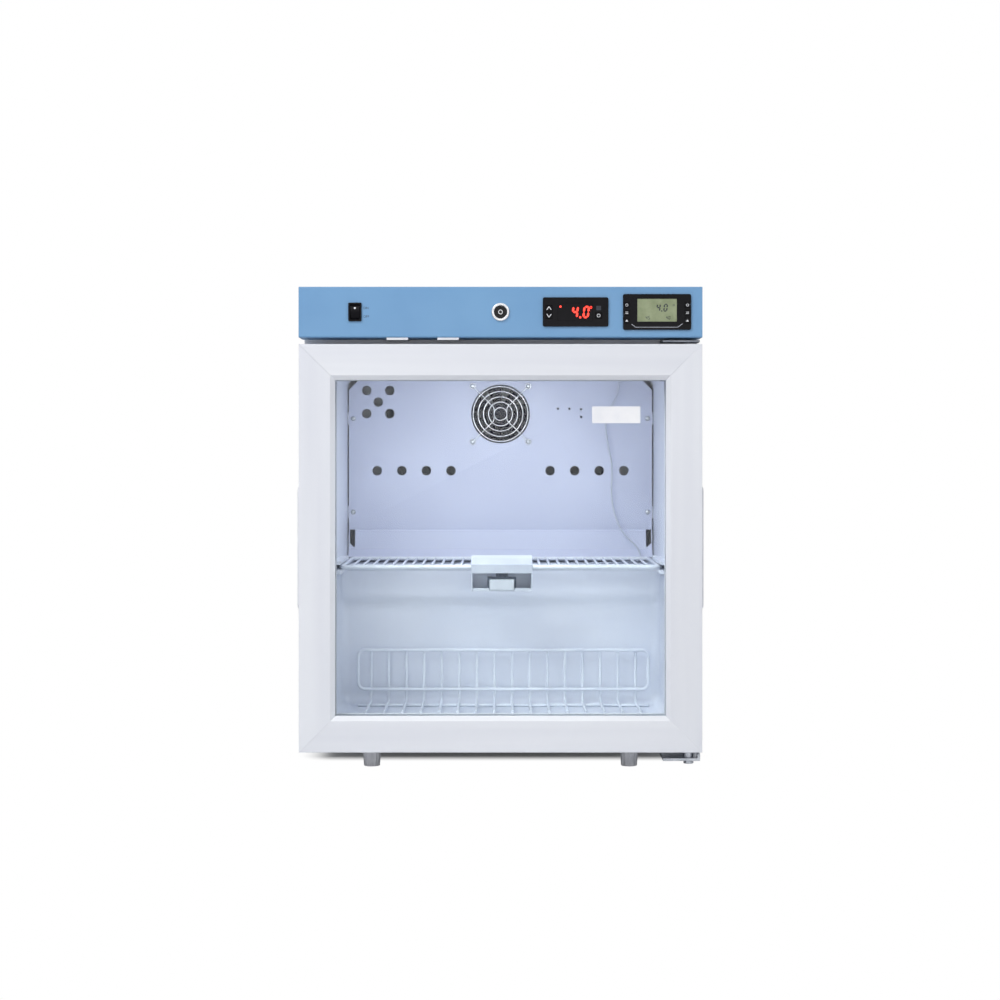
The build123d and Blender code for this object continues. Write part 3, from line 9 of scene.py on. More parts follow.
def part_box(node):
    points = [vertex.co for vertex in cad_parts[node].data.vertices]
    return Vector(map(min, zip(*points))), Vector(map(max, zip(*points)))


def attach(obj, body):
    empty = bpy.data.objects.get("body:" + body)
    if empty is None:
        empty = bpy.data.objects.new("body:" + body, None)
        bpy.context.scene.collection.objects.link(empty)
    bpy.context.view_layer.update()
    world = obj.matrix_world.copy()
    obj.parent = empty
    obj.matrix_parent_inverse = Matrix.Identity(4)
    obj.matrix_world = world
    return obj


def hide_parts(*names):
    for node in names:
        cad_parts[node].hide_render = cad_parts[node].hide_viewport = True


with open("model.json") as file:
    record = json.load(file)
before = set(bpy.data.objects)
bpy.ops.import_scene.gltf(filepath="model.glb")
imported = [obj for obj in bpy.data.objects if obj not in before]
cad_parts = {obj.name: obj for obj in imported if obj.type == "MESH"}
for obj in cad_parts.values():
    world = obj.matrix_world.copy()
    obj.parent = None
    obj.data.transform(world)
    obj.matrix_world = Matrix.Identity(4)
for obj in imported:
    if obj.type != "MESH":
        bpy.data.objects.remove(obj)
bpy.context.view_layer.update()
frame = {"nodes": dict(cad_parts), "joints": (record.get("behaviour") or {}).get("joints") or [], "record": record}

# Looks of a compact countertop medical refrigerator with a glass door.
# Everything is in metres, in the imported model's frame; mm() turns real sizes into metres.
scene = bpy.context.scene
bodies = frame["record"]["behaviour"]["bodies"]


def mm(*values):
    """Millimetres to metres: one number, or a vector of three."""
    return values[0] * 0.001 if len(values) == 1 else Vector(values) * 0.001


# Materials

def linear(hex_colour):
    """An sRGB hex colour as linear red, green, blue and alpha."""
    parts = [int(hex_colour[i:i + 2], 16) / 255 for i in (1, 3, 5)]
    return [p / 12.92 if p <= 0.04045 else ((p + 0.055) / 1.055) ** 2.4 for p in parts] + [1.0]


def add_node(tree, kind, inputs=None, **settings):
    """Add a node with its settings; an input takes a plain value or another node's output."""
    node = tree.nodes.new(kind)
    for name, value in settings.items():
        setattr(node, name, value)
    for name, value in (inputs or {}).items():
        if isinstance(value, bpy.types.NodeSocket):
            tree.links.new(value, node.inputs[name])
        else:
            node.inputs[name].default_value = value
    return node


def start_material(name, hex_colour, roughness, **values):
    """A material with a Principled shader, and its object coordinates in metres."""
    material = bpy.data.materials.new(name)
    material.use_nodes = True
    tree = material.node_tree
    tree.nodes.clear()
    inputs = {"Base Color": linear(hex_colour), "Roughness": roughness}
    inputs.update({key.replace("_", " "): value for key, value in values.items()})
    shader = add_node(tree, "ShaderNodeBsdfPrincipled", inputs)
    add_node(tree, "ShaderNodeOutputMaterial", {"Surface": shader.outputs[0]})
    place = add_node(tree, "ShaderNodeTexCoord").outputs["Object"]
    return material, tree, shader, place


def vary_colour(tree, shader, place, dark, light, size_mm, stretch=(1, 1, 1), low=0.35, high=0.65):
    """Let the colour drift between two close tones over patches of a real size."""
    stretched = add_node(tree, "ShaderNodeMapping", {"Vector": place, "Scale": stretch})
    noise = add_node(tree, "ShaderNodeTexNoise", {
        "Vector": stretched.outputs[0], "Scale": 1 / mm(size_mm), "Detail": 3.0, "Roughness": 0.55,
    })
    ramp = add_node(tree, "ShaderNodeValToRGB", {"Fac": noise.outputs["Fac"]})
    ramp.color_ramp.elements[0].position = low
    ramp.color_ramp.elements[0].color = linear(dark)
    ramp.color_ramp.elements[1].position = high
    ramp.color_ramp.elements[1].color = linear(light)
    tree.links.new(ramp.outputs["Color"], shader.inputs["Base Color"])


def vary_roughness(tree, shader, place, low, high, size_mm, stretch=(1, 1, 1)):
    """Let the gloss drift over patches of a real size, as handling and moulding leave it."""
    stretched = add_node(tree, "ShaderNodeMapping", {"Vector": place, "Scale": stretch})
    noise = add_node(tree, "ShaderNodeTexNoise", {
        "Vector": stretched.outputs[0], "Scale": 1 / mm(size_mm), "Detail": 4.0,
    })
    span = add_node(tree, "ShaderNodeMapRange", {
        "Value": noise.outputs["Fac"], "From Min": 0.3, "From Max": 0.7, "To Min": low, "To Max": high,
    })
    tree.links.new(span.outputs["Result"], shader.inputs["Roughness"])


def add_relief(tree, shader, place, size_mm, depth_mm, strength=0.4, stretch=(1, 1, 1), detail=2.0):
    """Fine relief of a real grain size and depth."""
    stretched = add_node(tree, "ShaderNodeMapping", {"Vector": place, "Scale": stretch})
    noise = add_node(tree, "ShaderNodeTexNoise", {
        "Vector": stretched.outputs[0], "Scale": 1 / mm(size_mm), "Detail": detail,
    })
    bump = add_node(tree, "ShaderNodeBump", {
        "Height": noise.outputs["Fac"], "Strength": strength, "Distance": mm(depth_mm),
    })
    tree.links.new(bump.outputs["Normal"], shader.inputs["Normal"])


def make_material(name, dark, light, roughness, patch_mm, grain_mm, depth_mm, stretch=(1, 1, 1), **values):
    """The usual finish: two close tones, a drifting gloss and a fine relief."""
    low, high = roughness
    material, tree, shader, place = start_material(name, light, (low + high) / 2, **values)
    vary_colour(tree, shader, place, dark, light, patch_mm, stretch)
    vary_roughness(tree, shader, place, low, high, patch_mm * 0.6, stretch)
    add_relief(tree, shader, place, grain_mm, depth_mm, stretch=stretch)
    return material


# Powder-coated sheet steel: an even satin film with a fine orange peel, drawn at 1.6 mm so that it shows
white_coat = make_material("powder_coated_steel_white", "#e6e7ec", "#e9eaee", (0.40, 0.44), 90, 1.6, 0.03)
blue_coat = make_material("powder_coated_steel_blue", "#709fcb", "#77a6d0", (0.34, 0.44), 120, 1.4, 0.025)
# Extruded rigid vinyl: satin, with faint draw lines along the bar
vinyl_level = make_material(
    "extruded_vinyl_rail", "#e3e5ec", "#eceef3", (0.30, 0.40), 40, 3.0, 0.012, stretch=(0.05, 1, 1))
vinyl_upright = make_material(
    "extruded_vinyl_stile", "#e3e5ec", "#eceef3", (0.30, 0.40), 40, 3.0, 0.012, stretch=(1, 1, 0.05))
# Vacuum-formed ABS: glossy, a little wavy from the forming, cool white
formed_abs = make_material("vacuum_formed_abs", "#d0d5e3", "#d8dce8", (0.28, 0.38), 140, 9.0, 0.05)
# Satin-coated aluminium sheet of the inner cover, grey-blue beside the liner
cover_coat = make_material("coated_aluminium_sheet", "#c4c9e0", "#cdd2e8", (0.38, 0.48), 110, 1.2, 0.02)
# Epoxy-coated wire: thick white film, slightly lumpy at 2 mm
wire_coat = make_material("epoxy_coated_wire", "#d3d8e4", "#e0e5ee", (0.30, 0.42), 20, 2.0, 0.04)
# Rigid urethane foam: straw yellow, closed cells drawn at 1.5 mm
urethane_foam = make_material("urethane_foam", "#d8c078", "#e8d59a", (0.80, 0.95), 30, 1.5, 0.3)
# Bright nickel-chrome plating on die-cast zinc and on wire
bright_chrome = make_material(
    "nickel_chrome_plating", "#cfd0d4", "#e4e5e8", (0.08, 0.16), 12, 4.0, 0.004, Metallic=1.0)
# Zinc-plated steel fasteners and brackets: bluish satin metal with handling marks
zinc_plate = make_material("zinc_plated_steel", "#a9adb4", "#c7cad0", (0.26, 0.42), 9, 1.0, 0.01, Metallic=1.0)
# Zinc plate made darker and greyer as painted shade, so that the upper hinge's edge stays quiet in the shade under the
# header
painted_shade_zinc = make_material("darkened_zinc_painted_shade", "#6f737a", "#868a91", (0.38, 0.52), 9, 1.0, 0.01, Metallic=1.0)
# Moulded fan plastic: nearly black and low in shine, so that the blades stay dark behind the guard
fan_plastic = make_material(
    "moulded_fan_plastic", "#191b27", "#232536", (0.52, 0.66), 25, 0.6, 0.03, Specular_IOR_Level=0.2)
# Evaporator plate in dark slate: painted shade that stands for the shade behind the cover's air holes
evaporator_painted_shade = make_material("evaporator_plate_painted_shade", "#3a4156", "#474f66", (0.5, 0.62), 30, 1.5, 0.02)
# Gloss black polycarbonate of the instrument fronts
gloss_polycarbonate = make_material(
    "gloss_black_polycarbonate", "#08070b", "#0d0c11", (0.16, 0.26), 30, 6.0, 0.01, Specular_IOR_Level=0.12)
# White nylon and acetal mouldings: slightly translucent looking, satin
white_acetal = make_material("moulded_white_acetal", "#e6e8ee", "#f1f2f6", (0.34, 0.46), 18, 1.2, 0.02)
foot_nylon = make_material("moulded_pale_nylon", "#eeeff4", "#f7f8fb", (0.42, 0.55), 14, 0.8, 0.03)
block_nylon = make_material("cast_pale_nylon", "#bfc5d1", "#c9cfda", (0.40, 0.52), 14, 0.8, 0.03)
# Black oxide on the lock's plug: dark satin metal; the same material paints the shade in a thin ring round the plug
plug_oxide_and_painted_shade = make_material("blackened_steel_and_painted_shade", "#0c0c0f", "#17171b", (0.18, 0.30), 5, 0.5, 0.006, Metallic=0.5)
# Soft magnetic gasket: matt plasticised vinyl with extrusion chatter along its length
soft_vinyl = make_material("soft_vinyl_gasket", "#c9cad2", "#d8d9e0", (0.55, 0.7), 16, 1.0, 0.03)
# Moulded black rubber
black_rubber = make_material("moulded_black_rubber", "#131315", "#1d1d20", (0.65, 0.85), 12, 0.7, 0.05)
# Slate-coloured glass-filled nylon of the clip over the block
dark_nylon = make_material("glass_filled_nylon", "#4b5262", "#5d6575", (0.40, 0.55), 10, 0.7, 0.03)
# Stove-enamelled steel of the compressor and the condenser
black_enamel = make_material("stove_enamel_black", "#0e0e10", "#18181b", (0.28, 0.45), 35, 2.2, 0.05)
# Mill-finish aluminium with rolling lines
mill_aluminium = make_material(
    "mill_finish_aluminium", "#b9bcc2", "#d0d2d6", (0.30, 0.44), 14, 0.9, 0.01, stretch=(0.1, 1, 1), Metallic=1.0)
# Coated steel of the small bracket, light grey
bracket_coat = make_material("coated_bracket_steel", "#bcc2d2", "#c8cedb", (0.34, 0.44), 30, 1.2, 0.02)
# Silicone sheath of the probe lead
silicone = make_material("silicone_sheath", "#b4bac8", "#c2c8d5", (0.45, 0.6), 8, 0.8, 0.01)
# Calendered vinyl film of the bare label
label_film = make_material("calendered_vinyl_film", "#f3f4f8", "#fbfbfd", (0.30, 0.40), 20, 2.0, 0.005)
# Opal acrylic of the lamp bar
opal_acrylic = make_material(
    "opal_acrylic", "#eef0f4", "#f8f9fb", (0.35, 0.5), 20, 2.0, 0.01)
# White pad-printed ink and silver ink, matt films
white_ink = make_material("white_printing_ink", "#e6e8ec", "#f2f3f6", (0.5, 0.65), 6, 0.5, 0.004)
silver_ink = make_material("silver_printing_ink", "#9fa3ad", "#b7bac3", (0.3, 0.42), 6, 0.5, 0.004, Metallic=0.6)
dark_ink = make_material("dark_printing_ink", "#20242e", "#2b303b", (0.5, 0.65), 6, 0.5, 0.004)


def galvanised_sheet():
    """Hot-dip galvanised steel: zinc spangle in flat crystals about 9 mm across, each with its own grey."""
    material, tree, shader, place = start_material("galvanised_steel", "#a7abb0", 0.42, Metallic=1.0)
    cells = add_node(tree, "ShaderNodeTexVoronoi", {"Vector": place, "Scale": 1 / mm(9.0)})
    ramp = add_node(tree, "ShaderNodeValToRGB", {"Fac": cells.outputs["Color"]})
    ramp.color_ramp.elements[0].color = linear("#8f9499")
    ramp.color_ramp.elements[1].color = linear("#bcc0c4")
    tree.links.new(ramp.outputs["Color"], shader.inputs["Base Color"])
    vary_roughness(tree, shader, place, 0.32, 0.52, 9.0)
    add_relief(tree, shader, place, 0.8, 0.01)
    return material


def float_glass():
    """Float glass with a low-reflection coating: nearly no glare, and lamps shine through it."""
    material, tree, shader, place = start_material("coated_float_glass", "#fbfdfd", 0.0, IOR=1.16)
    shader.inputs["Transmission Weight"].default_value = 1.0
    add_relief(tree, shader, place, 160, 0.02, strength=0.02, detail=0.0)
    rays = add_node(tree, "ShaderNodeLightPath")
    clear = add_node(tree, "ShaderNodeBsdfTransparent", {"Color": linear("#fbfdfd")})
    mix = add_node(tree, "ShaderNodeMixShader", {
        "Fac": rays.outputs["Is Shadow Ray"], 1: shader.outputs[0], 2: clear.outputs[0],
    })
    tree.links.new(mix.outputs[0], tree.nodes["Material Output"].inputs["Surface"])
    return material


def lit_segments(name, hex_colour, glow):
    """Light-emitting segments: a saturated lens with its own even glow."""
    material, tree, shader, place = start_material(name, hex_colour, 0.35)
    vary_colour(tree, shader, place, hex_colour, hex_colour, 2.0)
    shader.inputs["Emission Color"].default_value = linear(hex_colour)
    shader.inputs["Emission Strength"].default_value = glow
    return material


def liquid_crystal():
    """Reflective liquid crystal panel: grey-green with the fine pixel lattice drawn at 0.8 mm."""
    material, tree, shader, place = start_material("liquid_crystal_panel", "#8b9670", 0.22)
    vary_colour(tree, shader, place, "#848f69", "#959f7b", 12.0)
    add_relief(tree, shader, place, 0.8, 0.004)
    return material


galvanised = galvanised_sheet()
glass = float_glass()
red_light = lit_segments("red_led_segments", "#ff3a2a", 1.6)
lcd_panel = liquid_crystal()


# Mesh helpers

def body_of(node):
    """The body that a CAD node belongs to."""
    return next(body for body, members in bodies.items() if node in members)


def new_piece(name, mesh, material, body, replaced=()):
    """Put a finished mesh in the scene, riding on a body and standing for the named CAD nodes."""
    piece = bpy.data.objects.new(name, mesh)
    scene.collection.objects.link(piece)
    mesh.materials.clear()
    mesh.materials.append(material)
    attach(piece, body)
    if replaced:
        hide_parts(*replaced)
    return piece


def smooth_mesh(mesh, angle=32):
    """Shade smooth, with edges above an angle kept sharp."""
    for name in ("custom_normal", "sharp_face"):
        if name in mesh.attributes:
            mesh.attributes.remove(mesh.attributes[name])
    mesh.shade_smooth()
    mesh.set_sharp_from_angle(angle=radians(angle))


def add_bevel(piece, width_mm, segments=2, angle=40):
    """Round a piece's sharp edges by a real width."""
    bevel = piece.modifiers.new("rounded_edges", "BEVEL")
    bevel.width = mm(width_mm)
    bevel.segments = segments
    bevel.limit_method = "ANGLE"
    bevel.angle_limit = radians(angle)
    bevel.use_clamp_overlap = False
    bevel.harden_normals = True
    bevel.miter_outer = "MITER_ARC"
    return piece


def dress_node(node, material, round_mm=0.0, segments=2, angle=32):
    """A clean copy of a CAD node's mesh with its edges rounded, in place of the node."""
    work = bmesh.new()
    work.from_mesh(frame["nodes"][node].data)
    bmesh.ops.remove_doubles(work, verts=work.verts, dist=mm(0.002))
    bmesh.ops.dissolve_limit(work, angle_limit=radians(0.4), verts=work.verts, edges=work.edges)
    mesh = bpy.data.meshes.new(f"{node}_finish")
    work.to_mesh(mesh)
    work.free()
    smooth_mesh(mesh, angle)
    piece = new_piece(f"{node}_finish", mesh, material, body_of(node), [node])
    if round_mm:
        add_bevel(piece, round_mm, segments)
    return piece


def paint_node(node, material):
    """Give a CAD node that stays in view its material."""
    mesh = frame["nodes"][node].data
    mesh.materials.clear()
    mesh.materials.append(material)


def mesh_from(work, name):
    """Turn a bmesh into a mesh with its faces outwards."""
    bmesh.ops.recalc_face_normals(work, faces=work.faces)
    mesh = bpy.data.meshes.new(name)
    work.to_mesh(mesh)
    work.free()
    return mesh


def plain_mesh(carrier, name):
    """The evaluated mesh of an object, whose own object is then removed."""
    bpy.context.view_layer.update()
    graph = bpy.context.evaluated_depsgraph_get()
    mesh = bpy.data.meshes.new_from_object(carrier.evaluated_get(graph), depsgraph=graph)
    mesh.name = name
    mesh.transform(carrier.matrix_world)
    bpy.data.objects.remove(carrier)
    return mesh


def rounded_route(points, bend, steps=6, closed=False):
    """The points of a wire's centreline with an arc of one radius at each corner."""
    count = len(points)
    route = []
    for i, corner in enumerate(points):
        if not closed and i in (0, count - 1):
            route.append(corner)
            continue
        back = (points[i - 1] - corner).normalized()
        ahead = (points[(i + 1) % count] - corner).normalized()
        half = back.angle(ahead) / 2
        start = corner + back * (bend / tan(half))
        centre = corner + (back + ahead).normalized() * (bend / sin(half))
        arm = start - centre
        axis = back.cross(ahead).normalized()
        turn = -(pi - 2 * half)
        for step in range(steps + 1):
            route.append(centre + Matrix.Rotation(turn * step / steps, 3, axis) @ arm)
    return route


def wire_mesh(routes, diameter, closed=False, sides=3):
    """Round wires along routes, with closed ends, as one mesh."""
    curve = bpy.data.curves.new("wire", "CURVE")
    curve.dimensions = "3D"
    curve.bevel_depth = diameter / 2
    curve.bevel_resolution = sides
    curve.use_fill_caps = True
    for route in routes:
        spline = curve.splines.new("POLY")
        spline.points.add(len(route) - 1)
        for point, place in zip(spline.points, route):
            point.co = (*place, 1.0)
        spline.use_cyclic_u = closed
    carrier = bpy.data.objects.new("wire", curve)
    scene.collection.objects.link(carrier)
    return plain_mesh(carrier, "wire")


def join_meshes(meshes, name):
    """Several meshes as one."""
    work = bmesh.new()
    for mesh in meshes:
        work.from_mesh(mesh)
        bpy.data.meshes.remove(mesh)
    joined = bpy.data.meshes.new(name)
    work.to_mesh(joined)
    work.free()
    return joined


def lathe_mesh(profile, name, steps=40):
    """Turn a profile of (radius, height) points in metres round Z."""
    work = bmesh.new()
    verts = [work.verts.new((radius, 0, height)) for radius, height in profile]
    edges = [work.edges.new(pair) for pair in zip(verts, verts[1:])]
    bmesh.ops.spin(work, geom=verts + edges, axis=(0, 0, 1), cent=(0, 0, 0), steps=steps, angle=2 * pi)
    bmesh.ops.remove_doubles(work, verts=work.verts, dist=1e-7)
    return mesh_from(work, name)


def slab_mesh(outlines, y_front, y_back, name):
    """Flat shapes drawn in X and Z, given a thickness from front to back."""
    work = bmesh.new()
    for outline in outlines:
        front = [work.verts.new((x, y_front, z)) for x, z in outline]
        back = [work.verts.new((x, y_back, z)) for x, z in outline]
        work.faces.new(front)
        work.faces.new(back[::-1])
        for i in range(len(front)):
            j = (i + 1) % len(front)
            work.faces.new((front[j], front[i], back[i], back[j]))
    return mesh_from(work, name)


def rounded_rectangle(x, z, width, height, corner, steps=5):
    """Outline of a rectangle with round corners, anticlockwise from the right."""
    points = []
    for quarter in range(4):
        cx = x + (width / 2 - corner) * (1 if quarter in (0, 3) else -1)
        cz = z + (height / 2 - corner) * (1 if quarter in (0, 1) else -1)
        for step in range(steps + 1):
            angle = pi / 2 * (quarter + step / steps)
            points.append((cx + corner * cos(angle), cz + corner * sin(angle)))
    return points


def disc(x, z, radius, steps=24):
    """Outline of a circle."""
    return [(x + radius * cos(2 * pi * i / steps), z + radius * sin(2 * pi * i / steps)) for i in range(steps)]


# Repeats

def build_repeat_tree():
    """Geometry Nodes: a copy of one piece on each point, turned to the point's own direction."""
    tree = bpy.data.node_groups.new("copies_on_points", "GeometryNodeTree")
    for name, kind in (("Points", "NodeSocketGeometry"), ("Piece", "NodeSocketObject"),
                       ("Size", "NodeSocketFloat"), ("Finish", "NodeSocketMaterial")):
        tree.interface.new_socket(name, in_out="INPUT", socket_type=kind)
    tree.interface.new_socket("Copies", in_out="OUTPUT", socket_type="NodeSocketGeometry")
    given = add_node(tree, "NodeGroupInput")
    piece = add_node(tree, "GeometryNodeObjectInfo", {"Object": given.outputs["Piece"]})
    facing = add_node(tree, "GeometryNodeInputNamedAttribute", {"Name": "facing"}, data_type="FLOAT_VECTOR")
    turned = add_node(tree, "FunctionNodeAlignRotationToVector", {"Vector": facing.outputs[0]}, axis="Z")
    copies = add_node(tree, "GeometryNodeInstanceOnPoints", {
        "Points": given.outputs["Points"], "Instance": piece.outputs["Geometry"],
        "Rotation": turned.outputs[0], "Scale": given.outputs["Size"],
    })
    real = add_node(tree, "GeometryNodeRealizeInstances", {"Geometry": copies.outputs[0]})
    painted = add_node(tree, "GeometryNodeSetMaterial", {
        "Geometry": real.outputs[0], "Material": given.outputs["Finish"],
    })
    add_node(tree, "NodeGroupOutput", {"Copies": painted.outputs[0]})
    return tree


repeat_tree = build_repeat_tree()


def repeated_mesh(template, places, facing, material, name):
    """One mesh of copies of a template mesh, at places, each facing its own direction."""
    pattern = bpy.data.objects.new("pattern", template)
    scene.collection.objects.link(pattern)
    points = bpy.data.meshes.new("points")
    points.from_pydata([tuple(p) for p in places], [], [])
    attribute = points.attributes.new("facing", "FLOAT_VECTOR", "POINT")
    attribute.data.foreach_set("vector", [c for direction in facing for c in direction])
    carrier = bpy.data.objects.new("carrier", points)
    scene.collection.objects.link(carrier)
    modifier = carrier.modifiers.new("repeat", "NODES")
    modifier.node_group = repeat_tree
    inputs = {s.name: s.identifier for s in repeat_tree.interface.items_tree if s.in_out == "INPUT"}
    modifier[inputs["Piece"]] = pattern
    modifier[inputs["Size"]] = 1.0
    modifier[inputs["Finish"]] = material
    mesh = plain_mesh(carrier, name)
    bpy.data.objects.remove(pattern)
    bpy.data.meshes.remove(template)
    return mesh


# Places read from the frame

def middle(node):
    """Middle of a CAD node's box."""
    low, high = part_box(node)
    return (low + high) / 2


cover_low, cover_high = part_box("evaporator_cover")
header_low, header_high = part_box("header_fascia")
shelf_low, shelf_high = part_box("wire_shelf")
rack_low, rack_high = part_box("floor_rack")
guard_low, guard_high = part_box("fan_guard")
condenser_low, condenser_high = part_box("condenser")
housing_low, housing_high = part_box("controller_housing")
monitor_low, monitor_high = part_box("monitor_housing")
panel_y = housing_low.y
front_y = header_low.y
control_z = middle("controller_housing").z
cover_y = cover_high.y - mm(1.5)
fan_x, _, fan_z = middle("fan_guard")


# Sheet metal, mouldings and the door

def dress_plain_nodes():
    """The pieces whose CAD shape is right and only need a finish and rounded edges."""
    finishes = {
        white_coat: {"left_side_panel": 0.25, "right_side_panel": 0.25, "top_panel": 0.25},
        galvanised: {"rear_panel": 0.2, "base_plate": 0.2, "compressor_base": 0.3},
        blue_coat: {"header_fascia": 0.3},
        urethane_foam: {"insulation": 0.0},
        formed_abs: {"inner_liner": 0.5, "shelf_guides": 0.6},
        vinyl_level: {"door_top_rail": 0.35, "door_bottom_rail": 0.35},
        vinyl_upright: {"door_hinge_stile": 0.35, "door_grip_stile": 0.35},
        soft_vinyl: {"door_gasket": 0.5},
        white_acetal: {"door_grips": 0.7, "hinge_bushes": 0.2},
        block_nylon: {"buffer_block": 0.8},
        mill_aluminium: {"glass_spacer": 0.3},
        # The evaporator's dark slate colour is painted shade, seen through the cover's air holes
        evaporator_painted_shade: {"evaporator": 0.3},
        fan_plastic: {"fan_housing": 0.5, "fan_rotor": 0.25, "drip_tray": 0.4},
        gloss_polycarbonate: {
            "controller_housing": 0.2, "monitor_housing": 0.1, "switch_bezel": 0.4, "switch_rocker": 0.4,
        },
        opal_acrylic: {"interior_lamp": 1.0},
        bracket_coat: {"probe_bracket": 0.3},
        dark_nylon: {"block_clip": 0.5},
        bright_chrome: {"lock_barrel": 0.3},
        plug_oxide_and_painted_shade: {"lock_plug": 0.15},
        zinc_plate: {"lock_cam": 0.3, "lower_hinge": 0.4, "nuts": 0.25},
        # The upper hinge takes the darker copy of the zinc plate: painted shade for the gap under the header
        painted_shade_zinc: {"upper_hinge": 0.4},
        foot_nylon: {"left_front_foot": 0.4, "right_front_foot": 0.4},
        black_rubber: {"rear_feet": 1.0, "cable_grommets": 0.4},
        black_enamel: {"compressor": 1.5},
    }
    for material, nodes in finishes.items():
        for node, round_mm in nodes.items():
            dress_node(node, material, round_mm)
    for node in sorted(frame["nodes"]):
        if "_key" in node:
            dress_node(node, gloss_polycarbonate, 0.15)
    for node in ("outer_glass", "inner_glass"):
        paint_node(node, glass)


# Evaporator cover with its air holes

VENT_RADIUS = mm(6.1)
FAN_OPENING_RADIUS = mm(37.65)


def cover_hole_places():
    """Centres of the round air holes: a row each side of the fan and a cluster of five."""
    row_z = cover_low.z + mm(110.4)
    places = [(side * mm(63.7 + 31.6 * i), row_z) for side in (-1, 1) for i in range(4)]
    cluster_x, cluster_z, reach = mm(-157.2), cover_low.z + mm(198.6), mm(14.85)
    for dx, dz in ((0, 0), (-1, -1), (-1, 1), (1, -1), (1, 1)):
        places.append((cluster_x + dx * reach, cluster_z + dz * reach))
    return places


def build_cover():
    """The folded cover: a sheet with a lean and a lip at its foot, punched and cut at its corners."""
    sheet = mm(1.5)
    crease_z = cover_low.z + mm(34.7)
    lip_z = cover_low.z + mm(9.6)
    lean_y = cover_y - mm(3.0)
    lip_y = cover_low.y
    fold = [
        (cover_y, cover_high.z), (cover_y, crease_z + mm(1.2)), (cover_y + mm(0.7), crease_z),
        (cover_y - mm(0.6), crease_z - mm(1.2)), (lean_y, lip_z), (lip_y, cover_low.z),
    ]
    section = fold + [(y + sheet, z) for y, z in reversed(fold)]
    work = bmesh.new()
    left = [work.verts.new((cover_low.x, y, z)) for y, z in section]
    right = [work.verts.new((cover_high.x, y, z)) for y, z in section]
    work.faces.new(left)
    work.faces.new(right[::-1])
    for i in range(len(section)):
        j = (i + 1) % len(section)
        work.faces.new((left[j], left[i], right[i], right[j]))
    panel = bpy.data.objects.new("cover", mesh_from(work, "cover"))
    scene.collection.objects.link(panel)
    front, back = cover_y - mm(8), cover_y + mm(6)
    punch = slab_mesh([disc(0, 0, VENT_RADIUS, 40)], -mm(8), mm(8), "punch")
    punch.transform(Matrix.Rotation(radians(-90), 4, "X"))
    vents = repeated_mesh(
        punch, [(x, cover_y, z) for x, z in cover_hole_places()],
        [(0, -1, 0)] * len(cover_hole_places()), cover_coat, "vents")
    cuts = [disc(fan_x, fan_z, FAN_OPENING_RADIUS, 96)]
    for x, z in ((73.8, 190.1), (88.5, 190.1), (103.6, 189.4), (103.6, 179.5)):
        cuts.append(disc(mm(x), cover_low.z + mm(z), mm(1.5)))
    for side in (-1, 1):
        edge, top, cut = side * cover_high.x, cover_high.z, mm(14)
        outer = edge + side * mm(2)
        cuts.append([(edge - side * cut, top), (edge - side * cut, top + mm(2)), (outer, top + mm(2)),
                     (outer, top - cut), (edge, top - cut)])
        near, far = edge - side * mm(8.1), edge - side * mm(1.3)
        cuts.append([(near, crease_z), (far, crease_z), (far, lip_z + mm(8)), (near + side * mm(2), lip_z + mm(3)),
                     (near, lip_z + mm(3))])
    shapes = slab_mesh(cuts, front, back, "cuts")
    cutter = bpy.data.objects.new("cutter", join_meshes([vents, shapes], "cutter"))
    scene.collection.objects.link(cutter)
    cut = panel.modifiers.new("punched", "BOOLEAN")
    cut.operation = "DIFFERENCE"
    cut.solver = "EXACT"
    cut.object = cutter
    mesh = plain_mesh(panel, "cover")
    bpy.data.objects.remove(cutter)
    smooth_mesh(mesh)
    piece = new_piece("evaporator_cover_finish", mesh, cover_coat, "cabinet", ["evaporator_cover"])
    add_bevel(piece, 0.3)


# Fan guard, shelf, rack and condenser

def build_fan_guard():
    """Five bright rings on two bent arms, with an eye round each screw."""
    wire = mm(1.6)
    arm_y = guard_high.y - wire / 2
    ring_y = arm_y - wire
    rings = []
    for radius in (35.2, 28.8, 21.9, 15.3, 8.2):
        rings.append([Vector((fan_x + mm(radius) * cos(a), ring_y, fan_z + mm(radius) * sin(a)))
                      for a in (2 * pi * i / 72 for i in range(72))])
    reach, near, eye = mm(35.75), mm(8.2), mm(3.4)
    arms, eyes = [], []
    end = reach - eye * cos(radians(45))
    for side in (-1, 1):
        corners = [Vector((fan_x + side * x, arm_y, fan_z + z))
                   for x, z in ((end, end), (near, near), (near, -near), (end, -end))]
        arms.append(rounded_route(corners, mm(5)))
        for up in (-1, 1):
            centre = Vector((fan_x + side * reach, arm_y, fan_z + up * reach))
            eyes.append([centre + eye * Vector((cos(a), 0, sin(a))) for a in (2 * pi * i / 28 for i in range(28))])
    mesh = join_meshes([
        wire_mesh(rings, wire, closed=True), wire_mesh(arms, wire), wire_mesh(eyes, wire, closed=True),
    ], "guard")
    smooth_mesh(mesh, 60)
    new_piece("fan_guard_wires", mesh, bright_chrome, "cabinet", ["fan_guard"])


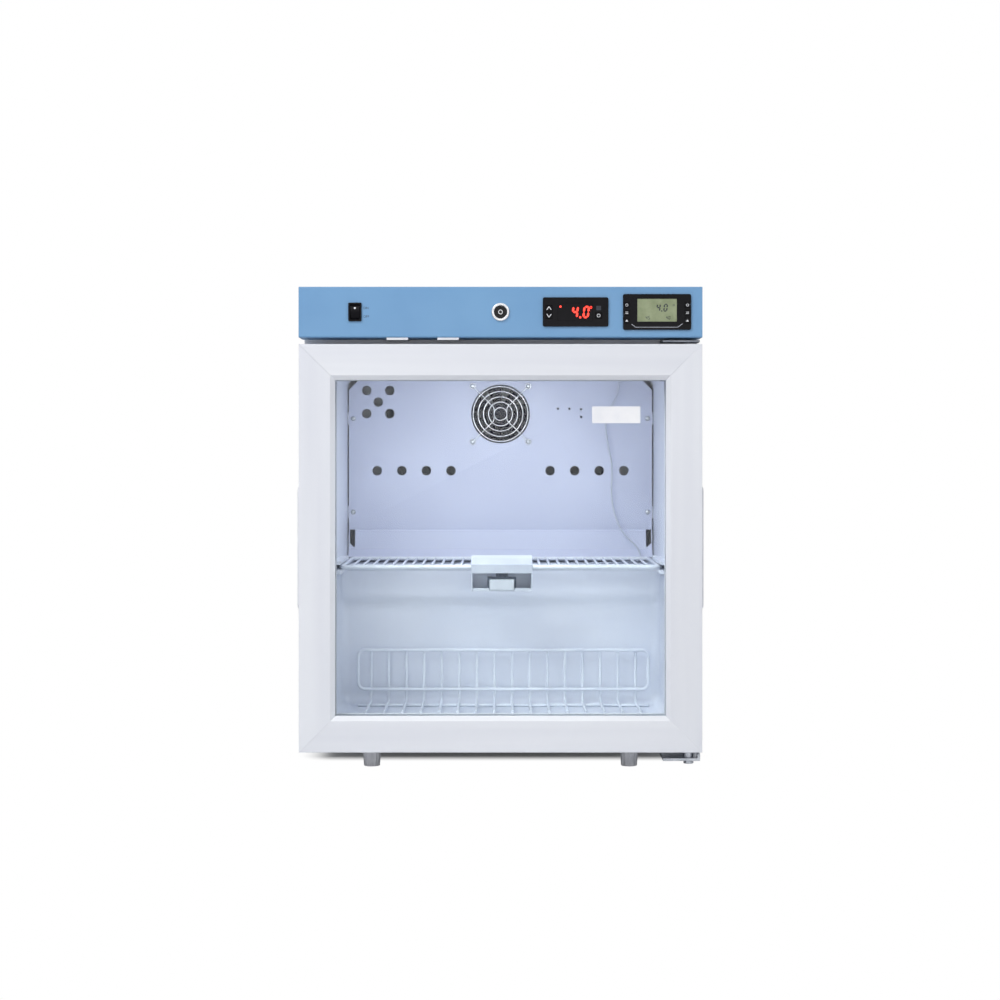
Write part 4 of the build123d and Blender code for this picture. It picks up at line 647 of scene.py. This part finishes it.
def build_wire_shelf():
    """The shelf: a bent frame, thirty-one wires welded between its rails and two rods under them."""
    rail, wire = mm(5), mm(3)
    half_x = shelf_high.x - rail / 2
    front, back = shelf_low.y + rail / 2, shelf_high.y - rail / 2
    z = shelf_high.z - rail / 2
    corners = [Vector((x, y, z)) for x, y in ((-half_x, front), (half_x, front), (half_x, back), (-half_x, back))]
    frame_wire = wire_mesh([rounded_route(corners, mm(7), closed=True)], rail, closed=True, sides=4)
    pitch = 2 * half_x / 32
    long_wire = wire_mesh([[Vector((0, front, 0)), Vector((0, back, 0))]], wire)
    wires = repeated_mesh(
        long_wire, [(-half_x + i * pitch, 0, z) for i in range(1, 32)], [(0, 0, 1)] * 31, wire_coat, "wires")
    reach = mm(184.5)
    under = z - (wire + rail) / 2
    rods = [[Vector((-reach, front + mm(place), under)), Vector((reach, front + mm(place), under))]
            for place in (45, 92)]
    mesh = join_meshes([frame_wire, wires, wire_mesh(rods, rail, sides=4)], "shelf")
    smooth_mesh(mesh, 50)
    new_piece("wire_shelf_coated", mesh, wire_coat, "cabinet", ["wire_shelf"])


def build_floor_rack():
    """The rack: sixteen bent wires, a standing loop with round corners and two rods on the floor."""
    rod, wire = mm(4), mm(3.2)
    centre = (rack_low.x + rack_high.x) / 2
    half_x = (rack_high.x - rack_low.x) / 2
    fence = rack_high.y - wire / 2
    floor = rack_low.z
    top = rack_high.z
    loop_y = fence - (rod + wire) / 2
    low, high = top - mm(52) + rod / 2, top - rod / 2
    side = half_x - rod / 2
    loop = [Vector((x, loop_y, z)) for x, z in ((-side, low), (side, low), (side, high), (-side, high))]
    loop_wire = wire_mesh([rounded_route(loop, mm(8), closed=True)], rod, closed=True, sides=4)
    front = rack_low.y + rod / 2
    rod_z = floor + rod / 2
    rods = [[Vector((-half_x + rod / 2, y, rod_z)), Vector((half_x - rod / 2, y, rod_z))]
            for y in (front, fence - mm(10))]
    wire_z = floor + rod + wire / 2
    bent = rounded_route([
        Vector((0, fence, top)), Vector((0, fence, wire_z)), Vector((0, front - rod / 2, wire_z)),
    ], mm(8), steps=8)
    pitch = mm(21.6)
    wires = repeated_mesh(
        wire_mesh([bent], wire), [((i - 7.5) * pitch, 0, 0) for i in range(16)], [(0, 0, 1)] * 16, wire_coat, "wires")
    mesh = join_meshes([loop_wire, wires, wire_mesh(rods, rod, sides=4)], "rack")
    mesh.transform(Matrix.Translation((centre, 0, 0)))
    smooth_mesh(mesh, 50)
    new_piece("floor_rack_coated", mesh, wire_coat, "cabinet", ["floor_rack"])


def build_condenser():
    """The winding tube with upright wires and four stays, in black enamel."""
    wire, tube = mm(1.5), mm(5)
    wire_y = condenser_high.y - wire / 2
    tube_y = wire_y - (wire + tube) / 2
    pitch, runs, overhang = mm(48), 7, mm(12)
    bottom = condenser_low.z + overhang
    half = condenser_high.x - tube / 2
    corners = []
    for run in range(runs):
        side = -1 if run % 2 else 1
        z = bottom + pitch * run
        corners += [Vector((-side * half, tube_y, z)), Vector((side * half, tube_y, z))]
    winding = wire_mesh([rounded_route(corners, pitch * 0.3)], tube, sides=5)
    reach = mm(146)
    top = bottom + pitch * (runs - 1)
    upright = wire_mesh([[Vector((0, wire_y, bottom - overhang)), Vector((0, wire_y, top + overhang))]], wire, sides=2)
    places = [(-reach + 2 * reach * i / 17, 0, 0) for i in range(18)]
    wires = repeated_mesh(upright, places, [(0, 0, 1)] * 18, black_enamel, "uprights")
    work = bmesh.new()
    for side in (-1, 1):
        for z in (bottom, top):
            box = Matrix.Translation((side * mm(140), (condenser_low.y + tube_y - tube / 2) / 2, z))
            size = Matrix.Diagonal((mm(14), tube_y - tube / 2 - condenser_low.y, mm(2), 1))
            bmesh.ops.create_cube(work, size=1, matrix=box @ size)
    mesh = join_meshes([winding, wires, mesh_from(work, "stays")], "condenser")
    smooth_mesh(mesh, 50)
    new_piece("condenser_enamelled", mesh, black_enamel, "cabinet", ["condenser"])


# Screws

def screw_template():
    """A pan-head screw along Z with a cross recess, its head's underside at the origin."""
    radius, height, shank, length = mm(3.2), mm(2), mm(1.45), mm(8)
    profile = [(0, height), (radius * 0.45, height * 0.97), (radius * 0.75, height * 0.82),
               (radius * 0.94, height * 0.5), (radius, height * 0.15), (radius, 0), (shank, 0),
               (shank, -length * 0.85), (0, -length)]
    head = bpy.data.objects.new("screw", lathe_mesh(profile, "screw", 28))
    scene.collection.objects.link(head)
    work = bmesh.new()
    for width, depth in ((mm(3.4), mm(0.8)), (mm(0.8), mm(3.4))):
        place = Matrix.Translation((0, 0, height)) @ Matrix.Diagonal((width, depth, mm(1.8), 1))
        bmesh.ops.create_cube(work, size=1, matrix=place)
    recess = bpy.data.objects.new("recess", mesh_from(work, "recess"))
    scene.collection.objects.link(recess)
    cut = head.modifiers.new("recess", "BOOLEAN")
    cut.operation = "DIFFERENCE"
    cut.solver = "EXACT"
    cut.use_self = True
    cut.object = recess
    mesh = plain_mesh(head, "screw")
    bpy.data.objects.remove(recess)
    return mesh


def build_screws():
    """Every screw of the cover, the fan guard and the hinges."""
    forward, down = (0, -1, 0), (0, 0, -1)
    step = cover_low.z - mm(6.6)
    places, facing = [], []
    for side in (-1, 1):
        for rise in (63.8, 184.1):
            places.append((side * mm(189.3), cover_y, step + mm(rise)))
            facing.append(forward)
        for up in (-1, 1):
            places.append((fan_x + side * mm(35.75), cover_y - mm(1.6), fan_z + up * mm(35.75)))
            facing.append(forward)
    low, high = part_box("upper_hinge")
    hinge_x = (low.x + high.x) / 2
    base_low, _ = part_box("base_plate")
    for dx in (-12, 12):
        places.append((hinge_x + mm(dx), high.y - mm(2.5), header_low.z + mm(12)))
        facing.append(forward)
    for dx, dy in ((-12, 18), (12, 18), (0, 34)):
        places.append((hinge_x + mm(dx), base_low.y - mm(1) + mm(dy), base_low.z - mm(3)))
        facing.append(down)
    mesh = repeated_mesh(screw_template(), places, facing, zinc_plate, "screws")
    smooth_mesh(mesh, 35)
    new_piece("pan_head_screws", mesh, zinc_plate, "cabinet", ["screws"])


# Probe lead

def build_probe_lead():
    """The probe's thin lead, hanging from the ceiling and running under the shelf to its block."""
    route = [
        (152.5, 64, 455.5), (152.5, 64, 438), (133, 65, 409), (137, 65, 374), (144, 64, 345), (141, 65, 300),
        (154, 62, 260), (177, 57.5, 241), (180, 56, 223.6), (160, 27, 223.6), (112, 4, 223.6), (60, -10, 223.6),
        (22, -26, 223.6), (6, -58, 217), (1.6, -92, 207), (1.6, -113.5, 207),
    ]
    curve = bpy.data.curves.new("probe_lead", "CURVE")
    curve.dimensions = "3D"
    curve.bevel_depth = mm(1.0)
    curve.bevel_resolution = 4
    curve.resolution_u = 10
    curve.use_fill_caps = True
    spline = curve.splines.new("NURBS")
    spline.points.add(len(route) - 1)
    for point, place in zip(spline.points, route):
        point.co = (*mm(*place), 1.0)
    spline.order_u = 3
    spline.use_endpoint_u = True
    curve.materials.append(silicone)
    lead = bpy.data.objects.new("probe_lead_sheath", curve)
    scene.collection.objects.link(lead)
    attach(lead, "cabinet")
    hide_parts("probe_lead")


# Marks on the controls

SEGMENTS = {
    "0": "abcdef", "1": "bc", "2": "abged", "3": "abgcd", "4": "fgbc", "5": "afgcd", "6": "afgedc",
    "7": "abc", "8": "abcdefg", "9": "abcfgd",
}


def digit_outlines(text, x, z, height, slant=0.12):
    """Seven-segment figures in X and Z, from a lower left corner; a point takes little room."""
    width, stroke, gap = height * 0.52, height * 0.16, height * 0.018
    outlines = []
    level = {"a": height - stroke / 2, "g": height / 2, "d": stroke / 2}
    tall = {"f": (0, 1), "b": (1, 1), "e": (0, 0), "c": (1, 0)}
    for letter in text:
        if letter == ".":
            outlines.append([(x - stroke * 0.2, z), (x + stroke * 0.8, z), (x + stroke * 0.8, z + stroke),
                             (x - stroke * 0.2, z + stroke)])
            x += stroke * 1.3
            continue
        for name in SEGMENTS[letter]:
            if name in level:
                mid, half = level[name], stroke / 2
                shape = [(half + gap, mid), (stroke + gap, mid - half), (width - stroke - gap, mid - half),
                         (width - half - gap, mid), (width - stroke - gap, mid + half), (stroke + gap, mid + half)]
            else:
                right, upper = tall[name]
                mid, half = right * (width - stroke) + stroke / 2, stroke / 2
                low = height / 2 if upper else half
                high = height - half if upper else height / 2
                shape = [(mid, low + gap), (mid + half, low + half + gap), (mid + half, high - half - gap),
                         (mid, high - gap), (mid - half, high - half - gap), (mid - half, low + half + gap)]
            outlines.append([(x + px + slant * pz, z + pz) for px, pz in shape])
        x += width + stroke
    return outlines


def add_mark(name, outlines, y, material, body="cabinet", thickness=0.05):
    """Thin printed or lit shapes standing on a surface at y."""
    mesh = slab_mesh(outlines, y - mm(thickness), y + mm(0.02), name)
    return new_piece(name, mesh, material, body)


def bar(x0, z0, x1, z1, width):
    """Outline of a straight stroke between two points."""
    along = Vector((x1 - x0, z1 - z0)).normalized()
    across = Vector((-along.y, along.x)) * width / 2
    ends = (Vector((x0, z0)), Vector((x1, z1)))
    return [tuple(ends[0] + across), tuple(ends[0] - across), tuple(ends[1] - across), tuple(ends[1] + across)]


def ring_bars(x, z, radius, width, steps=16):
    """A thin ring drawn as short strokes."""
    points = disc(x, z, radius, steps)
    return [bar(*points[i], *points[(i + 1) % steps], width) for i in range(steps)]


def add_words(name, text, x, z, height, y, material):
    """Plain capital letters on a surface."""
    font = bpy.data.curves.new(name, "FONT")
    font.body = text
    font.size = height / 0.72
    font.extrude = mm(0.03)
    font.align_x = "LEFT"
    letters = bpy.data.objects.new("letters", font)
    scene.collection.objects.link(letters)
    mesh = plain_mesh(letters, name)
    mesh.transform(Matrix.Translation((x, y, z)) @ Matrix.Rotation(radians(90), 4, "X"))
    return new_piece(name, mesh, material, "cabinet")


def build_controller_marks():
    """Red figures, the lamp dot, and the signs on the controller's keys."""
    face = panel_y + mm(0.5)
    x = housing_low.x
    add_mark("controller_figures", digit_outlines("4.0", x + mm(32.0), control_z - mm(7.1), mm(14.0)), face, red_light)
    add_mark("controller_degree", ring_bars(x + mm(54.2), control_z + mm(5.2), mm(1.2), mm(0.6)), face, red_light)
    add_mark("controller_lamp", [disc(x + mm(19.9), control_z + mm(6.0), mm(1.2))], face, red_light)
    for node, up in (("up_key", 1), ("down_key", -1)):
        low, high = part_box(node)
        cx, cz = (low.x + high.x) / 2, (low.z + high.z) / 2
        tip, foot = cz + up * mm(2.0), cz - up * mm(1.8)
        strokes = [bar(cx - mm(2.5), foot, cx, tip, mm(0.8)), bar(cx + mm(2.5), foot, cx, tip, mm(0.8))]
        for number, stroke in enumerate(strokes):
            add_mark(f"{node}_chevron_{number}", [stroke], low.y, white_ink, f"{node}_body")
    low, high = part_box("set_key")
    cx, cz = (low.x + high.x) / 2, (low.z + high.z) / 2
    add_mark("set_key_sign", ring_bars(cx, cz, mm(1.7), mm(0.6)), low.y, white_ink, "set_key_body")
    add_mark("controller_sensor_window", [rounded_rectangle(cx, cz + mm(8.5), mm(5.4), mm(5.0), mm(0.6))],
             panel_y, dark_ink)


def build_monitor_marks():
    """Dark figures on the liquid crystal panel, signs on the keys and the silver line below."""
    low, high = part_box("monitor_display")
    face = low.y
    x, z = low.x, low.z
    add_mark("monitor_figures", digit_outlines("4.0", x + mm(21), z + mm(11.2), mm(9.0)), face, dark_ink)
    add_mark("monitor_small_figures", digit_outlines("45", x + mm(9), z + mm(2.2), mm(4.2))
             + digit_outlines("40", x + mm(32), z + mm(2.2), mm(4.2)), face, dark_ink)
    add_mark("monitor_degree", ring_bars(x + mm(41), z + mm(18.6), mm(0.9), mm(0.4)), face, dark_ink)
    for side in ("left", "right"):
        for row in ("upper", "middle", "lower"):
            node = f"monitor_key_{side}_{row}"
            key_low, key_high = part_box(node)
            cx, cz = (key_low.x + key_high.x) / 2, (key_low.z + key_high.z) / 2
            if row == "upper":
                shapes = ring_bars(cx, cz, mm(1.3), mm(0.5))
            elif row == "middle":
                shapes = [bar(cx - mm(1.6), cz + mm(0.8), cx + mm(1.6), cz + mm(0.8), mm(0.55)),
                          bar(cx - mm(1.6), cz - mm(0.8), cx + mm(1.6), cz - mm(0.8), mm(0.55))]
            else:
                shapes = [[(cx - mm(1.6), cz - mm(1.1)), (cx + mm(1.6), cz - mm(1.1)), (cx, cz + mm(1.4))]]
            add_mark(f"{node}_sign", shapes, key_low.y, white_ink, f"{node}_body")
    left, right = x - mm(6.5), high.x + mm(6.5)
    bottom = z - mm(6.4)
    line = [bar(left, bottom + mm(3.4), left + mm(4.5), bottom, mm(0.5)),
            bar(left + mm(4.5), bottom, right - mm(5.5), bottom, mm(0.5)),
            bar(right - mm(5.5), bottom, right, bottom + mm(4), mm(0.5))]
    for number, stroke in enumerate(line):
        add_mark(f"monitor_line_{number}", [stroke], panel_y, silver_ink)


def build_switch_marks():
    """ON and OFF beside the light switch."""
    low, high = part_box("switch_bezel")
    x = high.x + mm(2.0)
    add_words("switch_on", "ON", x, control_z + mm(3.3), mm(2.7), front_y, dark_ink)
    add_words("switch_off", "OFF", x, control_z - mm(6.3), mm(2.7), front_y, dark_ink)


def build_rocker_dot():
    """The white dot on the upper half of the rocker, flush on its sloping face."""
    low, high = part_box("switch_rocker")
    mesh = lathe_mesh([(0, mm(0.12)), (mm(1.1), mm(0.12)), (mm(1.2), 0), (mm(1.2), mm(-0.2)), (0, mm(-0.2))],
                      "dot", 24)
    pivot = Vector(frame_joint("switch_rock")["pos_m"])
    tilt = Matrix.Translation(pivot) @ Matrix.Rotation(radians(11), 4, "X")
    onto_face = Matrix.Rotation(radians(-11), 4, "X") @ Matrix.Translation((0, mm(-4.4), mm(4.4)))
    mesh.transform(tilt @ onto_face @ Matrix.Rotation(radians(90), 4, "X"))
    smooth_mesh(mesh)
    new_piece("rocker_dot", mesh, white_ink, "rocker")


def frame_joint(name):
    """A joint of the frame by its name."""
    return next(joint for joint in frame["joints"] if joint["name"] == name)


def build_lock_face():
    """A thin black ring of painted shade round the plug, where its recess lies, and the bright ring of its tubular
    keyway.
    """
    low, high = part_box("lock_barrel")
    x, shade_ring_y, face_y = (low.x + high.x) / 2, low.y + mm(1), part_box("lock_plug")[0].y
    rings = (
        # Painted shade: a thin black ring that stands for the shade in the recess round the plug
        ("lock_recess", "cabinet", plug_oxide_and_painted_shade, shade_ring_y, ((5.6, 0), (5.6, 0.12), (7.35, 0.12), (7.35, 0))),
        ("lock_key_ring", "lock", bright_chrome, face_y + mm(0.1), ((1.7, 0), (1.8, 0.3), (2.6, 0.3), (2.8, 0))),
    )
    for name, body, material, y, profile in rings:
        mesh = lathe_mesh([mm(*point, 0)[0:2] for point in profile + profile[:1]], name, 48)
        mesh.transform(Matrix.Translation((x, y, control_z)) @ Matrix.Rotation(radians(90), 4, "X"))
        smooth_mesh(mesh)
        new_piece(name, mesh, material, body)


def build_label():
    """The bare white label on the outer pane."""
    glass_low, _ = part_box("outer_glass")
    shape = rounded_rectangle(mm(130.9), mm(405.4), mm(54.8), mm(19.1), mm(1.0))
    mesh = slab_mesh([shape], glass_low.y - mm(0.25), glass_low.y + mm(0.02), "label")
    piece = new_piece("bare_label", mesh, label_film, "door")
    add_bevel(piece, 0.08)


# Camera, light and floor

def set_camera():
    """The photograph's straight front view, a little above the middle of the refrigerator."""
    data = bpy.data.cameras.new("camera")
    data.sensor_width = 36.0
    data.lens = 73.2
    data.shift_x = -0.0005
    data.shift_y = -0.05
    data.clip_end = 50
    camera = bpy.data.objects.new("camera", data)
    camera.location = (0.0, -2.5425, 0.3656)
    camera.rotation_euler = (radians(90), 0, 0)
    scene.collection.objects.link(camera)
    scene.camera = camera


def add_lamp(name, place, target, width, height, watts, hex_colour="#ffffff"):
    """A soft rectangular studio lamp pointed at a target."""
    data = bpy.data.lights.new(name, "AREA")
    data.shape = "RECTANGLE"
    data.size, data.size_y = width, height
    data.energy = watts
    data.color = linear(hex_colour)[:3]
    lamp = bpy.data.objects.new(name, data)
    lamp.location = place
    lamp.rotation_euler = (Vector(target) - Vector(place)).to_track_quat("-Z", "Y").to_euler()
    scene.collection.objects.link(lamp)


def light_scene():
    """Soft studio lamps, stronger from the left, and the cabinet's own cool lamp."""
    add_lamp("key_left", (-1.1, -1.7, 1.75), (0, 0, 0.4), 1.2, 1.2, 24)
    add_lamp("fill_right", (1.5, -1.8, 1.5), (0, 0, 0.4), 1.4, 1.4, 8)
    add_lamp("front_fill", (0, -2.9, 0.35), (0, 0, 0.25), 1.8, 0.5, 6.5)
    add_lamp("overhead", (0, -0.4, 2.2), (0, 0, 0.4), 2.0, 2.0, 3)
    add_lamp("cabinet_lamp", (0, -0.170, 0.447), (0, -0.02, 0.1), 0.19, 0.02, 0.40)


def set_world():
    """A pale surround: white to the eye, in reflections and through glass, softer as light."""
    world = bpy.data.worlds.new("surround")
    scene.world = world
    world.use_nodes = True
    tree = world.node_tree
    tree.nodes.clear()
    rays = add_node(tree, "ShaderNodeLightPath")
    seen = add_node(tree, "ShaderNodeMath", {0: rays.outputs["Is Camera Ray"], 1: rays.outputs["Is Glossy Ray"]},
                    operation="MAXIMUM")
    seen = add_node(tree, "ShaderNodeMath", {0: seen.outputs[0], 1: rays.outputs["Is Transmission Ray"]},
                    operation="MAXIMUM")
    soft = add_node(tree, "ShaderNodeBackground", {"Color": linear("#f2f4f8"), "Strength": 0.35})
    white = add_node(tree, "ShaderNodeBackground", {"Color": linear("#ffffff"), "Strength": 1.0})
    mix = add_node(tree, "ShaderNodeMixShader", {"Fac": seen.outputs[0], 1: soft.outputs[0], 2: white.outputs[0]})
    add_node(tree, "ShaderNodeOutputWorld", {"Surface": mix.outputs[0]})


def build_floor():
    """A seamless white studio floor that keeps the refrigerator's shadow."""
    work = bmesh.new()
    bmesh.ops.create_grid(work, x_segments=1, y_segments=1, size=8)
    floor = bpy.data.objects.new("studio_floor", mesh_from(work, "studio_floor"))
    scene.collection.objects.link(floor)
    material, tree, shader, place = start_material("grey_paper_sweep", "#e6e7ea", 0.9)
    vary_colour(tree, shader, place, "#e4e5e8", "#e8e9ec", 300)
    rays = add_node(tree, "ShaderNodeLightPath")
    glow = add_node(tree, "ShaderNodeEmission", {"Color": linear("#ffffff"), "Strength": 1.0})
    beyond = add_node(tree, "ShaderNodeVectorMath", {0: place}, operation="ABSOLUTE")
    beyond = add_node(tree, "ShaderNodeVectorMath", {0: beyond.outputs[0], 1: mm(195, 108, 0)}, operation="SUBTRACT")
    beyond = add_node(tree, "ShaderNodeVectorMath", {0: beyond.outputs[0], 1: (0, 0, 0)}, operation="MAXIMUM")
    away = add_node(tree, "ShaderNodeVectorMath", {0: beyond.outputs[0]}, operation="LENGTH")
    plain = add_node(tree, "ShaderNodeMapRange", {
        "Value": away.outputs["Value"], "From Min": 0.0, "From Max": mm(48), "To Min": 0.05, "To Max": 1.0,
    }, interpolation_type="SMOOTHSTEP")
    share = add_node(tree, "ShaderNodeMath", {0: rays.outputs["Is Camera Ray"], 1: plain.outputs["Result"]},
                     operation="MULTIPLY")
    mix = add_node(tree, "ShaderNodeMixShader", {"Fac": share.outputs[0], 1: shader.outputs[0], 2: glow.outputs[0]})
    tree.links.new(mix.outputs[0], tree.nodes["Material Output"].inputs["Surface"])
    floor.data.materials.append(material)


set_camera()
build_probe_lead()
dress_plain_nodes()
build_cover()
build_fan_guard()
build_wire_shelf()
build_floor_rack()
build_condenser()
build_screws()
build_controller_marks()
build_monitor_marks()
build_switch_marks()
build_rocker_dot()
build_lock_face()
build_label()
paint_node("monitor_display", lcd_panel)
light_scene()
set_world()
build_floor()

scene.view_settings.view_transform = "Standard"
